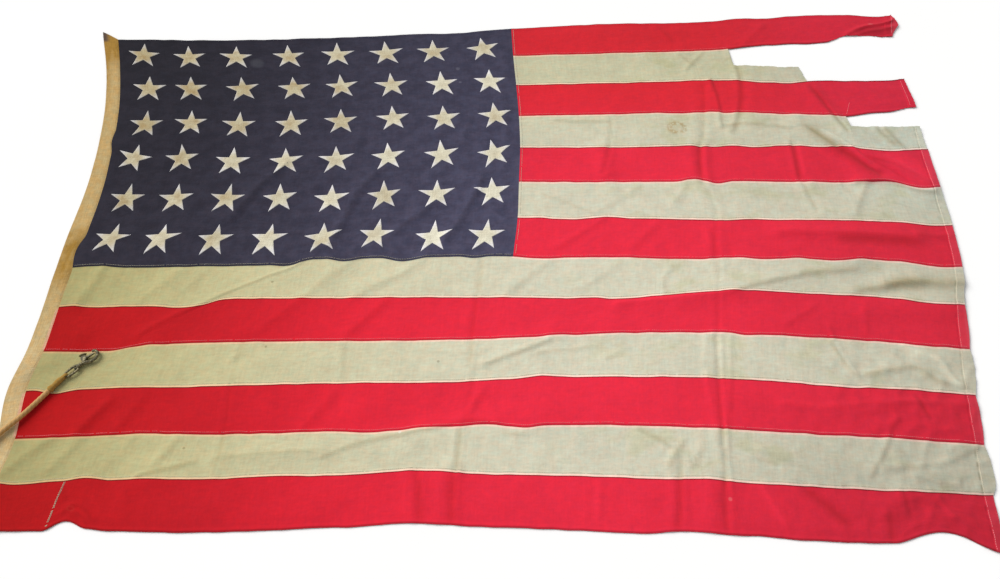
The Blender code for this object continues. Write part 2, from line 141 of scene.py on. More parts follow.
# Creases: gentle side, steep side, height (below 0 for a valley), dirt with painted shade (below 0 for a
# painted highlight) and the path as (along, seam) points. The steep side is on the right hand of someone who
# walks the path.
CREASES = (
    # The long upright fold over the fly half, with the upright ones beside it.
    (22, 14, -3.2, 0.5, ((1158, 4.8), (1160, 4.1), (1170, 3.6), (1178, 3.0), (1190, 2.2))),
    (18, 8, 2.6, 0.2, ((1206, 3.4), (1208, 2.6), (1204, 2.0))),
    (22, 12, -1.8, 0.3, ((1176, 7.1), (1173, 6.4), (1174, 5.7), (1162, 5.1))),
    (20, 12, -3.8, 0.8, ((1157, 5.06), (1156, 4.5), (1160, 4.02))),
    (12, 10, -2.6, 0.4, ((1170, 6.95), (1168, 6.3))),
    (12, 8, -1.6, 0.2, ((1178, 9.3), (1178, 8.2), (1177, 7.2))),
    (10, 10, 1.2, 0.0, ((1154, 9.1), (1155, 9.9), (1160, 10.5))),
    (12, 8, -4.2, 0.4, ((1175, 11.3), (1177, 10.4), (1174, 9.1))),
    (9, 9, 1.2, 0.0, ((1196, 9.1), (1196, 9.8), (1190, 10.6))),
    (9, 6, -2.6, 0.5, ((1178, 12.1), (1178, 11.0))),
    (30, 12, -5.0, 0.9, ((1172, 12.99), (1173, 12.5), (1176, 11.95))),
    (26, 10, -3.2, 0.8, ((1262, 1.1), (1268, 2.0), (1252, 2.9), (1231, 3.6))),
    (10, 8, -2.6, 0.5, ((970, 4.75), (984, 3.95), (993, 3.1))),
    (30, 8, -4.0, 1.0, ((1341, 3.92), (1342, 4.2), (1342, 4.9))),
    (6, 6, 0.6, -1.0, ((1352, 4.04), (1353, 4.8))),
    (16, 9, -2.2, 0.5, ((1347, 5.05), (1353, 5.4), (1361, 5.76))),
    # The upright fold in line with the canton's edge, and the short ones at the foot.
    (14, 6, -2.2, 0.7, ((752, 9.7), (751, 8.6), (755, 7.1))),
    (20, 12, -0.8, 0.0, ((748, 6.9), (744, 5.4), (748, 4.2))),
    (12, 8, -1.6, 0.2, ((746, 10.9), (762, 10.0), (764, 9.2))),
    (8, 6, -3.2, 0.9, ((741, 12.0), (742, 11.05))),
    (24, 8, -5.0, 1.1, ((737, 12.97), (739, 12.0))),
    (6, 6, -1.8, 0.5, ((346, 11.7), (349, 10.2), (349, 9.0))),
    (16, 7, -4.2, 1.0, ((687, 12.98), (684, 12.5), (679, 12.03))),
    (14, 9, -4.0, 0.9, ((1096, 12.97), (1101, 12.5), (1104, 12.0), (1108, 11.6))),
    (12, 10, -1.8, 0.1, ((960, 12.8), (966, 12.1))),
    # Slanting pulls below the canton.
    (16, 7, 1.5, 0.4, ((131, 8.86), (214, 8.2), (267, 7.9), (349, 7.45), (420, 7.02))),
    (40, 16, 1.3, 0.3, ((376, 8.7), (437, 8.0), (506, 7.05))),
    (38, 14, 1.7, 0.3, ((530, 7.98), (590, 7.5), (643, 7.05))),
    (34, 13, 1.6, 0.3, ((530, 8.85), (588, 8.1))),
    (30, 16, 2.6, 0.3, ((32, 7.95), (46, 7.5), (58, 7.05))),
    (30, 14, 1.3, 0.2, ((141, 7.9), (200, 7.1))),
    (26, 14, 0.9, 0.1, ((194, 7.9), (237, 7.3))),
    # Slanting pulls low at the hoist.
    (26, 15, 1.9, 0.3, ((4, 11.8), (30, 11.35), (62, 11.03))),
    (26, 12, 1.7, 0.3, ((76, 11.8), (112, 11.05))),
    (26, 12, 2.4, 0.5, ((100, 10.93), (147, 10.28))),
    (26, 14, 1.4, 0.2, ((165, 10.9), (202, 10.25))),
    (22, 11, 2.2, 0.4, ((247, 11.7), (273, 11.1))),
    (20, 12, 0.8, 0.1, ((186, 11.5), (196, 11.1))),
    (26, 16, 1.6, 0.2, ((478, 10.9), (523, 10.25))),
    (22, 12, 1.5, 0.2, ((746, 10.85), (778, 10.22))),
    (18, 12, 1.1, 0.1, ((318, 9.75), (343, 9.3))),
    (12, 8, 1.2, 0.2, ((534, 9.85), (522, 9.1))),
    # Long lines over the lower middle.
    (9, 4, 1.4, 0.75, ((223, 11.95), (262, 11.8), (311, 11.62))),
    (26, 20, 1.8, 0.5, ((345, 11.52), (440, 11.46), (520, 11.42))),
    (20, 7, 1.6, 0.65, ((520, 11.58), (590, 11.18), (690, 11.02), (740, 10.9), (800, 10.93))),
    (18, 6, 2.2, 0.6, ((776, 9.62), (884, 9.1))),
    (12, 5, 1.0, 0.3, ((868, 9.42), (967, 9.28))),
    (10, 5, 1.0, 0.4, ((985, 9.6), (1005, 9.48))),
    (16, 8, 0.9, 0.1, ((650, 9.22), (730, 9.32), (770, 9.3))),
    (30, 12, 1.4, 0.2, ((802, 7.95), (868, 7.12))),
    (26, 10, 1.2, 0.2, ((943, 7.7), (997, 7.2))),
    (14, 7, 1.1, 0.3, ((1083, 7.93), (1080, 7.5), (1098, 7.15))),
    (12, 30, 2.4, 0.1, ((1000, 8.12), (1100, 8.1), (1212, 8.03))),
    # Rolls and crumples at the lower fly.
    (36, 8, 1.7, 0.8, ((1204, 7.99), (1260, 7.74), (1314, 7.5))),
    (34, 16, 2.6, 0.9, ((1318, 7.48), (1360, 7.32), (1412, 7.26))),
    (46, 16, 4.6, 1.0, ((1412, 7.88), (1470, 7.68), (1520, 7.5))),
    (40, 24, 4.6, 1.3, ((1466, 7.66), (1500, 7.56), (1540, 7.46), (1600, 7.42))),
    (22, 12, 1.5, 0.1, ((1296, 8.7), (1345, 8.28))),
    (12, 12, 1.2, 0.0, ((1430, 8.75), (1428, 8.3))),
    (10, 7, 1.2, 0.3, ((1374, 8.98), (1368, 8.7))),
    (12, 10, 2.4, -1.9, ((1490, 9.05), (1520, 9.2), (1548, 9.3), (1562, 9.55), (1578, 9.82))),
    (14, 9, 2.2, 0.8, ((1420, 9.74), (1484, 9.54), (1510, 9.52), (1542, 9.76), (1584, 9.84))),
    (12, 8, 2.2, 0.8, ((1366, 9.1), (1386, 9.45), (1410, 9.78))),
    (6, 6, 0.8, -0.9, ((1380, 9.12), (1394, 9.45), (1408, 9.72))),
    (12, 26, 2.2, 0.2, ((1284, 10.42), (1340, 10.46), (1440, 10.3), (1590, 10.22))),
    (10, 7, -2.4, 0.7, ((1504, 10.14), (1512, 10.34), (1520, 10.56))),
    (16, 8, 2.2, 0.45, ((1410, 11.72), (1440, 11.18), (1453, 10.8), (1466, 10.6))),
    (14, 8, 2.2, 0.3, ((1432, 11.58), (1490, 11.5), (1530, 11.42), (1585, 11.08))),
    (12, 8, 1.6, 0.2, ((1480, 11.72), (1560, 11.9))),
    (12, 9, 1.8, 0.1, ((1236, 11.35), (1290, 11.55), (1360, 11.92))),
    (14, 10, -1.6, 0.5, ((1230, 11.55), (1262, 11.62))),
    (30, 14, -3.4, 1.1, ((1302, 12.04), (1335, 12.35), (1366, 12.68))),
    (12, 12, 1.2, -1.6, ((1266, 12.78), (1236, 12.08))),
    (10, 9, -2.2, 0.6, ((1464, 12.56), (1459, 12.02))),
    (10, 8, 1.6, -0.8, ((1532, 12.62), (1512, 12.08))),
    (14, 12, -2.2, 0.9, ((1428, 12.95), (1432, 12.4))),
    # Small creases on the lowest white stripe.
    (12, 7, 1.5, 0.7, ((1034, 11.05), (1070, 11.25), (1094, 11.42))),
    (11, 7, 1.7, 0.8, ((1084, 11.78), (1098, 11.5), (1112, 11.25))),
    (10, 6, 0.9, 0.5, ((812, 11.16), (846, 11.12))),
    (12, 12, 1.2, 0.1, ((1122, 11.75), (1146, 11.3))),
    (12, 12, -1.2, 0.3, ((1134, 11.75), (1140, 11.55), (1150, 11.1))),
    (18, 14, 1.1, 0.0, ((970, 12.6), (973, 12.15))),
    # Rolls at the upper fly.
    (40, 22, 4.4, 0.2, ((1284, 6.3), (1400, 6.32), (1531, 6.36))),
    # A band of painted shade below the roll, with no height of its own.
    (26, 26, 0.0, 1.1, ((1390, 6.46), (1460, 6.47), (1530, 6.48))),
    (16, 8, 1.8, 0.4, ((1530, 6.26), (1592, 6.26))),
    (24, 8, 3.4, 0.5, ((1443, 4.99), (1490, 4.95), (1584, 5.08))),
    # Creases fanned out below the torn tails.
    (14, 20, -3.0, 1.6, ((1496, 4.76), (1425, 4.02), (1372, 3.36))),
    (8, 10, -1.8, 0.5, ((1424, 4.0), (1404, 3.74), (1376, 3.42))),
    (12, 14, -3.0, -2.4, ((1582, 4.7), (1548, 4.38), (1514, 4.06))),
    (8, 10, -1.2, 0.9, ((1478, 4.22), (1528, 4.42), (1572, 4.74))),
    (10, 10, -3.0, 1.2, ((1452, 3.48), (1437, 3.05), (1420, 2.6), (1404, 2.15))),
    (5, 5, 0.8, -0.9, ((1456, 3.45), (1442, 3.05), (1427, 2.66))),
    (6, 6, 1.6, -1.7, ((1493, 4.6), (1468, 4.24), (1454, 4.02), (1436, 3.8), (1404, 3.5))),
    (10, 8, 1.8, 1.2, ((1552, 3.92), (1526, 3.42))),
    (10, 8, 1.6, 1.0, ((1538, 3.86), (1508, 3.42))),
    (10, 10, -1.6, 0.5, ((1544, 4.86), (1490, 4.36), (1464, 4.1))),
    (30, 14, 2.2, 0.3, ((1431, 5.78), (1462, 5.02))),
    (22, 16, -1.8, 0.2, ((1420, 5.1), (1450, 5.5), (1500, 5.96))),
    # Pulls and ticks over the upper stripes.
    (30, 12, 1.5, 0.2, ((958, 5.84), (1033, 5.17))),
    (24, 10, 1.3, 0.2, ((1098, 5.6), (1128, 5.03))),
    (30, 12, 1.4, 0.2, ((888, 6.72), (969, 6.03))),
    (26, 12, 1.3, 0.2, ((1024, 6.7), (1064, 6.15))),
    (10, 6, 1.1, 0.4, ((949, 5.86), (900, 5.56), (849, 5.32))),
    (12, 7, 1.5, 0.6, ((1160, 1.62), (1198, 1.1))),
    (12, 7, 1.2, 0.5, ((1176, 1.5), (1150, 1.08))),
    (12, 8, 1.6, 0.3, ((1136, 0.56), (1112, 0.1))),
    (26, 14, 1.2, 0.1, ((1290, 0.92), (1330, 0.3))),
    (10, 6, 1.3, 0.6, ((880, 3.14), (930, 3.2), (986, 3.2))),
    (10, 6, 1.2, 0.7, ((1210, 3.4), (1266, 3.32), (1340, 3.42))),
    # Pulls in the canton.
    (30, 15, 3.8, 0.5, ((468, 6.6), (496, 5.3), (528, 4.6))),
    (30, 14, 4.1, 0.5, ((682, 6.55), (731, 5.19), (738, 4.8))),
    (26, 14, 3.0, 0.5, ((268, 5.8), (302, 4.97), (352, 4.2))),
    (26, 14, 2.7, 0.5, ((560, 6.7), (600, 6.1), (655, 5.5))),
    (22, 10, 1.6, 0.2, ((694, 3.85), (714, 3.0))),
    (22, 12, 1.7, 0.2, ((488, 4.05), (497, 3.2))),
    (22, 14, 1.7, 0.2, ((117, 5.3), (112, 4.0))),
    (16, 10, 1.5, 0.2, ((778, 4.2), (786, 3.2), (780, 2.4))),
    # The turned end of the top tail.
    (14, 10, 3.4, 0.7, ((1506, 0.88), (1545, 0.56), (1600, 0.34))),
    (12, 8, 2.0, 0.6, ((1520, 0.9), (1598, 0.66))),
    # Puckers round the worn scallop in the foot.
    (8, 6, 1.6, 0.6, ((116, 12.8), (134, 12.62), (152, 12.66), (166, 12.82))),
    (8, 6, 1.4, 0.5, ((128, 12.9), (142, 12.78), (158, 12.9))),
    (16, 10, -2.4, 0.6, ((120, 12.5), (112, 12.2))),
)

# Least width of the dirt and painted shade in a crease, millimetres, and how far a valley's shoulders spread
# and rise.
DIRT_AND_SHADE_WIDTH = 6.0
SHOULDER = 2.2
SHOULDER_RISE = 0.8

# Seams that wander from the tables above: seam, along, half width and drop in millimetres.
WANDERS = (
    (0, 220, 240, 3.0), (0, 700, 90, 4.0), (0, 1280, 60, -3.0), (0, 1340, 45, 3.0), (0, 1570, 70, 6.0),
    (0, 1606, 10, -8.0), (1, 1320, 90, -4.5), (1, 1385, 40, -3.0), (1, 1500, 40, -5.0), (1, 1545, 35, -4.0),
    (2, 1300, 40, 4.0), (2, 1355, 70, 7.0), (2, 1500, 60, 3.0), (2, 1560, 60, 4.0),
    (3, 1140, 60, 3.0), (3, 1220, 30, 3.0), (3, 1450, 60, 5.0), (3, 1580, 40, -1.0),
    (4, 1180, 50, 4.0), (4, 1260, 50, 3.0), (4, 1340, 45, -3.0), (4, 1510, 80, 7.0),
    (5, 1140, 30, -4.0), (5, 1185, 30, 5.0), (5, 1500, 45, -4.0), (5, 1565, 50, 10.0),
    (6, 900, 50, 3.0), (6, 980, 40, -3.0), (6, 1240, 50, -3.0), (6, 1560, 60, 3.0),
    (7, 40, 60, -3.0), (7, 150, 80, 1.0), (7, 400, 40, 4.0), (7, 500, 35, 6.0), (7, 610, 45, 7.5),
    (7, 740, 30, 3.0), (7, 860, 60, 4.0), (7, 1000, 90, -2.0), (7, 1200, 60, -3.5), (7, 1375, 60, 6.0),
    (7, 1560, 70, 5.0),
    (8, 20, 50, -2.0), (8, 230, 70, 4.0), (8, 950, 40, -2.5), (8, 1160, 120, 1.0), (8, 1550, 80, 4.0),
    (9, 150, 60, 2.0), (9, 400, 200, -1.5), (9, 1050, 150, -1.5), (9, 900, 40, -3.0), (9, 1180, 40, -2.5),
    (9, 1230, 30, 2.0),
    (10, 5, 55, -13.0), (10, 160, 120, -1.0), (10, 700, 110, 3.0), (10, 880, 60, -5.0), (10, 1500, 120, -3.0),
    (11, 210, 120, -4.0), (11, 600, 90, 5.0), (11, 780, 40, -3.0), (11, 850, 50, 3.5), (11, 1460, 130, -2.5),
    (12, 40, 60, 4.0), (12, 140, 40, -3.5), (12, 340, 110, 3.0), (12, 680, 110, -6.0), (12, 1140, 60, -3.5),
    (13, 140, 60, -4.5), (13, 320, 120, 2.5), (13, 660, 140, -6.0), (13, 1120, 90, -6.0),
    (13, 520, 60, -3.0), (13, 1220, 70, -4.0), (13, 1440, 60, -3.0),
)

# Torn stripes: the cut side, where the cut starts and over what length, how much of the stripe is
# gone there and at the end, how far along its corners reach and how far the end bulges past them.
TORN = {
    1: {"side": "lower", "cut": 1456, "run": 62, "gone": (0.16, 0.02), "ends": (1600, 1601), "bulge": 14},
    2: {"side": "upper", "cut": 1254, "run": 6, "gone": (0.52, 0.61), "ends": (1391, 1401), "bulge": 0},
    3: {"side": "lower", "cut": 1540, "run": 40, "gone": (0.03, 0.08), "ends": (1598, 1600), "bulge": 0},
    4: {"side": "upper", "cut": 1456, "run": 4, "gone": (0.32, 0.44), "ends": (1595, 1598), "bulge": 0},
}

# How far the end of a whole stripe bulges past the fly, and where down the stripe, from 0 to 1.
FLY_BULGES = {9: (3.0, 0.5), 10: (5.0, 0.5), 11: (3.0, 0.5), 12: (8.0, 0.7)}

# Scallops worn into the bottom edge: middle, half width, depth.
SCALLOPS = ((122.0, 34.0, 12.0), (1513.0, 84.0, 26.0))

# What its sewing adds to the cloth, millimetres: a felled seam, a turned edge, the fly's and top's hems.
FELL = {"width": 5.5, "rise": 0.45}
TURNED_EDGE = {"width": 1.8, "rise": 0.3}
HEM_RISE = 0.9
TOP_HEM = {"width": 6.0, "rise": 0.4}

# Radius that keeps a crease from being a knife edge, millimetres.
CREASE_ROUND = 1.5

# Grid spacing: columns from each place along the cloth, finest at the crumpled fly, then the rows of
# a stripe and of the canton, and the rows that round each sewn edge, millimetres from the seam.
COLUMN_SPACING = ((0.0, 6.0), (700.0, 5.0), (1150.0, 3.3))
ROW_SPACING = 3.7
CANTON_SPACING = 4.5
EDGE_ROWS = (0.0, 0.5, 1.3, 2.2, 3.4, 4.8, 6.2, 8.5, 12.0)

# Stars: each row's shifts (along, down) from an even layout, millimetres, and its turns in degrees
# clockwise, from the hoist to the fly.
STAR_SHIFTS = (
    ((0, -1), (-7, 5), (-11, 6), (-5, 5), (-6, 4), (-7, 6), (-11, 8), (-10, 8)),
    ((9, -2), (-6, -1), (-1, 2), (2, 3), (-2, 2), (-1, 4), (0, 8), (-3, 8)),
    ((8, -2), (-2, -4), (-6, 3), (-2, 5), (-3, 1), (0, -1), (1, 5), (3, 4)),
    ((-4, -12), (-10, -8), (-11, 1), (-6, 5), (-8, 5), (-7, 3), (-3, 3), (-1, 4)),
    ((3, -9), (-3, -6), (-5, -2), (-4, 1), (-6, 5), (-6, 2), (-6, 3), (0, 1)),
    ((2, -11), (-5, -7), (-4, -3), (-6, -2), (-5, -1), (-8, -4), (-1, 3), (-5, 2)),
)
STAR_TURNS = (
    (6, -1, 3, -1, 1, -3, -1, -7),
    (3, 0, -5, -3, -3, -2, -1, 2),
    (2, -1, 1, -3, -2, -4, -3, -5),
    (15, -4, 2, -5, -4, -5, -6, -12),
    (2, -2, 4, -6, -3, -6, -2, -5),
    (4, -1, -2, 0, -9, 3, -3, 2),
)

STAR_COLUMNS = 8

# Places along each straight edge of a star, from 0 to 1.
STAR_STATIONS = (0.0, 0.08, 0.35, 0.65, 0.92)

# Columns across the heading from its outer edge, finest where it is rounded, millimetres.
HEADING_COLUMNS = (30.0, 29.7, 29.0, 28.0, 26.5, 24.0, 21.0, 18.0, 15.0, 12.0, 9.0, 6.5, 4.0, 2.4, 1.2,
                   0.5, 0.15)

# How far above a seam its thread runs, and how high it stands, millimetres.
THREAD_ASIDE = 4.6
THREAD_LIFT = 0.12

# Thread on the torn tails: its colour, along, seam and seed. Then the rows that darn the foot.
TAIL_THREADS = (
    ("pink", (1600.0, 1600.0), (0.12, 0.9), 41),
    ("pink", (1589.0, 1589.0), (2.05, 2.9), 42),
    ("pink", (1472.0, 1458.0), (2.62, 2.97), 43),
)
DARN = {"start": 109.0, "end": 93.0, "seam": (12.02, 12.95), "rows": (0.0, 1.1, 2.2)}

# Where the cord starts inside the sleeve, and its route from the heading's foot to the hook: right of
# the plumb line, below the top, up.
CORD_INSIDE = (-60.0, 1050.0, 5.3)
CORD_ROUTE = (
    (-60.0, 1063.8, 5.2),
    (-60.0, 1072.0, 5.0),
    (-63.0, 1084.0, 4.7),
    (-71.0, 1097.0, 4.6),
    (-85.0, 1105.0, 4.6),
    (-101.0, 1104.0, 4.6),
    (-114.0, 1094.0, 4.6),
    (-121.0, 1078.0, 4.6),
    (-123.0, 1058.0, 4.6),
    (-120.0, 1036.0, 4.6),
    (-115.0, 1013.0, 4.6),
    (-108.0, 990.0, 4.6),
    (-100.0, 967.0, 4.7),
    (-89.0, 943.0, 5.4),
    (-77.0, 922.0, 7.2),
    (-63.0, 904.0, 8.2),
    (-49.0, 889.5, 8.2),
    (-33.5, 873.0, 7.6),
    (-14.0, 848.5, 6.6),
    (3.5, 825.5, 6.2),
    (14.0, 811.6, 6.2),
    (22.8, 802.2, 6.2),
)
CORD_LAY = 24.0
SPLICE_LENGTH = 36.0

# The snap hook's own axis: where its eye starts, the way it points and its height over the floor.
HOOK_START = (23.0, 802.0)
HOOK_TURN = math.radians(43.2)
HOOK_LIFT = 6.2
EYE_ROD = 2.0

# Free edges that lie close to the floor, as paths of (along, seam).
FREE_EDGES = (
    ((1275, 1.0), (1600, 1.0)),
    ((1400, 2.0), (1600, 2.0)),
    ((1450, 3.0), (1600, 3.0)),
    ((120, 13.0), (1500, 13.0)),
    ((600, 0.0), (1600, 0.0)),
)

# Specks on the cloth: along, down from the top edge and half size, millimetres.
DARK_SPECKS = ((376.0, 621.0, 2.4), (390.0, 747.0, 2.2), (696.0, 780.0, 2.4), (287.0, 927.0, 2.2))
PALE_SPECKS = ((307.0, 844.0, 3.0), (641.0, 905.0, 2.6))

# The camera's place in metres, its turn in radians and its lens; where the key light comes from, its
# and the sky's strength and the width of its disc in degrees.
CAMERA = {"place": (0.0071, -0.8197, 1.3985), "tilt": (0.4802, 0.0047, -0.0126), "lens": 31.33}
LIGHT = {"from": (-0.68, 0.42, 0.60), "sun": 3.3, "sky": 0.455, "spread": 40.0}


# --- The cloth's shape -------------------------------------------------------------------------

def smooth(knots, values, at):
    """Cubic through values at the knots; a table of values has a column for each point of at."""
    knots = np.asarray(knots, float)
    slopes = np.gradient(values, knots, axis=0)
    cell = np.clip(np.searchsorted(knots, at) - 1, 0, len(knots) - 2)
    step = knots[cell + 1] - knots[cell]
    u = (at - knots[cell]) / step

    def pick(table, row):
        return table[row] if table.ndim == 1 else np.take_along_axis(table, row[None], axis=0)[0]

    start = (2 * u**3 - 3 * u**2 + 1) * pick(values, cell) + (u**3 - 2 * u**2 + u) * step * pick(slopes, cell)
    end = (3 * u**2 - 2 * u**3) * pick(values, cell + 1) + (u**3 - u**2) * step * pick(slopes, cell + 1)
    return start + end


def ramp(value):
    """Smooth step: 3v^2 - 2v^3 of the value held between 0 and 1."""
    value = np.clip(value, 0.0, 1.0)
    return value * value * (3.0 - 2.0 * value)


def points(*values):
    """Points, or marks of points, from values spread over one common grid."""
    return np.stack(np.broadcast_arrays(*values), axis=-1)


def metres(right, down, up):
    """World metres of points given in millimetres right, below the top and over the floor."""
    return points((right - CENTRE[0]) * MM, (CENTRE[1] - down) * MM, up * MM)


def swell(x, y, seed):
    """Smooth random swell from -1 to 1: seeded lattice values, blended each way by a smooth step."""
    table = np.random.default_rng(seed).uniform(-1.0, 1.0, (64, 64))
    column, row = np.floor(x).astype(int), np.floor(y).astype(int)
    u, v = ramp(x - column), ramp(y - row)
    near = table[row % 64, column % 64] * (1 - u) + table[row % 64, (column + 1) % 64] * u
    far = table[(row + 1) % 64, column % 64] * (1 - u) + table[(row + 1) % 64, (column + 1) % 64] * u
    return near * (1 - v) + far * v


def cloth_place(along, seam):
    """Millimetres right of the plumb line and below the top of points on the uneven cloth."""
    along, seam = np.broadcast_arrays(np.asarray(along, float), np.asarray(seam, float))
    seams = np.arange(STRIPES + 1)
    uprights = np.asarray(UPRIGHTS, float)
    outer, hoist, canton_edge, fly = (smooth(seams, column, seam) for column in uprights.T)
    for middle, half, flare in HOIST_FLARES:
        hoist = hoist - flare * np.clip(1.0 - ((seam - middle) / half) ** 2, 0.0, 1.0) ** 2
    in_heading = hoist + (hoist - outer) * along / HEADING_WIDTH
    in_canton = hoist + (canton_edge - hoist) * along / CANTON_LENGTH
    past_canton = canton_edge + (fly - canton_edge) * (along - CANTON_LENGTH) / (FLY_LENGTH - CANTON_LENGTH)
    right = np.where(along < 0.0, in_heading, np.where(along < CANTON_LENGTH, in_canton, past_canton))

    drops = np.asarray(DROPS, float)
    at_stations = np.stack([smooth(seams, column, seam) for column in drops.T])
    drop = smooth(DROP_STATIONS, at_stations, along)
    line_seam, line_along = zip(*SLACK_LINE)
    slack = 0.5 + 0.5 * np.tanh((np.interp(seam, line_seam, line_along) - along) / SLACK_BLEND)
    drop = drop + SLACK_DROP * slack * ramp((seam - 6.3) / 0.7) * ramp(11.0 - seam)
    for middle, half, depth in SCALLOPS:
        bite = np.clip(1.0 - ((along - middle) / half) ** 2, 0.0, 1.0) ** 2
        drop = drop - depth * bite * ramp(seam - STRIPES + 1.0)
    for line, middle, half, depth in WANDERS:
        near = np.clip(1.0 - ((along - middle) / half) ** 2, 0.0, 1.0) ** 2
        drop = drop + depth * near * ramp(1.0 - np.abs(seam - line))
    drop = drop + 1.8 * ramp((10.5 - seam) / 3.0) + 0.7 * swell(along / 23.0, seam * 0.9, 15)
    return right, STRIPE * seam + drop


def distance_to(path, along, seam):
    """Millimetres on the cloth from points to a path of (along, seam) corners."""
    point = points(along, seam * STRIPE)
    corners = np.array([(at, seam_at * STRIPE) for at, seam_at in path])
    nearest = np.full(along.shape, np.inf)
    for a, b in zip(corners[:-1], corners[1:]):
        share = np.clip(((point - a) @ (b - a)) / ((b - a) @ (b - a)), 0.0, 1.0)
        nearest = np.minimum(nearest, np.linalg.norm(point - a - share[..., None] * (b - a), axis=-1))
    return nearest


def folds(along, seam):
    """Broad folds: each is a rounded ridge (1 - (d/w)^2)^2 of the distance d from its crest."""
    height = np.zeros(along.shape)
    for half, crest, path in FOLDS:
        ridge = np.clip(1.0 - (distance_to(path, along, seam) / half) ** 2, 0.0, 1.0) ** 2
        height = np.maximum(height, crest * ridge)
    return height


def crease(along, seam, gentle, steep, path):
    """One crease from 1 at its path to 0: (1 - d/w)^2, where w turns from the gentle to the steep side."""
    corners = np.array(path, float) * (1.0, STRIPE)
    index = np.arange(len(corners))
    at = np.linspace(0.0, index[-1], 4 * index[-1] + 1)
    line = np.stack([smooth(index, column, at) for column in corners.T], axis=-1)
    point = points(along, seam * STRIPE)
    nearest, side = np.full(along.shape, np.inf), np.zeros(along.shape)
    for a, b in zip(line[:-1], line[1:]):
        run = b - a
        share = np.clip(((point - a) @ run) / (run @ run), 0.0, 1.0)
        away = point - a - share[..., None] * run
        distance = np.linalg.norm(away, axis=-1)
        turn = (run[0] * away[..., 1] - run[1] * away[..., 0]) / np.linalg.norm(run)
        closer = distance < nearest
        side = np.where(closer, turn / np.maximum(distance, 1e-6), side)
        nearest = np.where(closer, distance, nearest)
    width = gentle + (steep - gentle) * (0.5 + 0.5 * side)
    rounded = np.hypot(nearest, CREASE_ROUND) - CREASE_ROUND
    return np.clip(1.0 - rounded / width, 0.0, 1.0) ** 2


def near_crease(along, seam, path, reach):
    """Mask of the points in the path's own box, grown by reach millimetres."""
    spans, lines = zip(*path)
    down, top, foot = seam * STRIPE, min(lines) * STRIPE, max(lines) * STRIPE
    inside = (along > min(spans) - reach) & (along < max(spans) + reach)
    return inside & (down > top - reach) & (down < foot + reach)


def creases(along, seam):
    """Sharp creases added up. A valley's shoulders rise, wider than the valley, as it rests on the floor."""
    height = np.zeros(along.shape)
    for gentle, steep, crest, _dirt_and_shade, path in CREASES:
        reach = SHOULDER if crest < 0.0 else 1.0
        near = near_crease(along, seam, path, max(gentle, steep) * reach)
        if near.any():
            height[near] += crest * crease(along[near], seam[near], gentle, steep, path)
            if crest < 0.0:
                wide = crease(along[near], seam[near], gentle * SHOULDER, steep * SHOULDER, path)
                height[near] -= SHOULDER_RISE * crest * wide
    return height


def crease_dirt_and_shade(along, seam):
    """Dirt and painted shade held in the creases, dying out at each path's ends, wider where stronger; below
    0 a painted highlight.
    """
    crease_marks = np.zeros(along.shape)
    for gentle, steep, _crest, dirt_and_shade, path in CREASES:
        width = DIRT_AND_SHADE_WIDTH + (gentle + steep) * 0.6 * max(0.0, abs(dirt_and_shade) - 0.6)
        near = near_crease(along, seam, path, width)
        if near.any():
            ends = np.array([path[0], path[-1]]) * (1.0, STRIPE)
            middle, half = ends.mean(axis=0), np.linalg.norm(ends[1] - ends[0]) / 2.0
            away = np.hypot(along[near] - middle[0], seam[near] * STRIPE - middle[1]) / half
            crease_marks[near] += dirt_and_shade * crease(along[near], seam[near], width, width, path) * ramp(2.2 - 1.7 * away)
    return crease_marks


def undulation(along, seam):
    """Slack cloth: broad random swells, slanting pulls over the hoist half, crumples at the fly."""
    down = seam * STRIPE
    broad = 0.8 * swell(along / 120.0, down / 95.0, 3) + 0.5 * swell(along / 47.0, down / 52.0, 4)
    slant_across = (along * 0.55 + down * 0.83) / 52.0
    slant_along = (along * 0.83 - down * 0.55) / 260.0
    lower_hoist = ramp((900.0 - along) / 350.0) * ramp((seam - 1.0) / 3.0)
    pulls = 1.0 * swell(slant_across, slant_along, 5) * lower_hoist
    small = 0.30 * swell(along / 19.0, down / 24.0, 16) + 0.12 * swell(along / 8.0, down / 9.0, 17)
    near_fly = ramp((along - 1240.0) / 240.0) * ramp((seam - 8.6) / 0.8)
    crumples = 0.8 - 2.4 * np.abs(swell(along / 32.0 + down / 80.0, down / 23.0, 6))
    crumples = crumples + 0.7 * swell(along / 13.0, down / 11.0, 7)
    upper_fly = ramp((along - 1380.0) / 120.0) * ramp((6.4 - seam) / 0.8)
    fan = 0.7 * swell((along - down) / 17.0, (along + down) / 90.0, 18)
    return 1.3 + broad + pulls + small + crumples * near_fly + fan * upper_fly


def edge_rest(along, seam):
    """1 inside the cloth, falling to 0.35 at the free edges, whose own weight lays them on the floor."""
    rest = np.ones(along.shape)
    for path in FREE_EDGES:
        rest = np.minimum(rest, 0.35 + 0.65 * ramp(distance_to(path, along, seam) / 24.0))
    return rest


def stillness(along, seam):
    """0 beneath the cord and the hook, where the cloth is pressed flat, rising to 1 away from them."""
    hook_path = ((-40.0, 11.0), (0.0, 10.5), (45.0, 9.95), (75.0, 9.55), (118.0, 9.0))
    return ramp((distance_to(hook_path, along, seam) - 22.0) / 45.0)


def lie(along, seam):
    """Height of the cloth's underside over the floor, millimetres."""
    along, seam = np.broadcast_arrays(np.asarray(along, float), np.asarray(seam, float))
    still, rest = stillness(along, seam), edge_rest(along, seam)
    height = (folds(along, seam) + undulation(along, seam) * still) * rest
    height = height + creases(along, seam) * still * (0.5 + 0.5 * rest)
    return 0.02 + 0.5 * (height + np.hypot(height, 0.4))


def world(along, seam, up):
    """World metres of points on the cloth, up being millimetres over the floor."""
    right, down = cloth_place(along, seam)
    return metres(right, down, up)


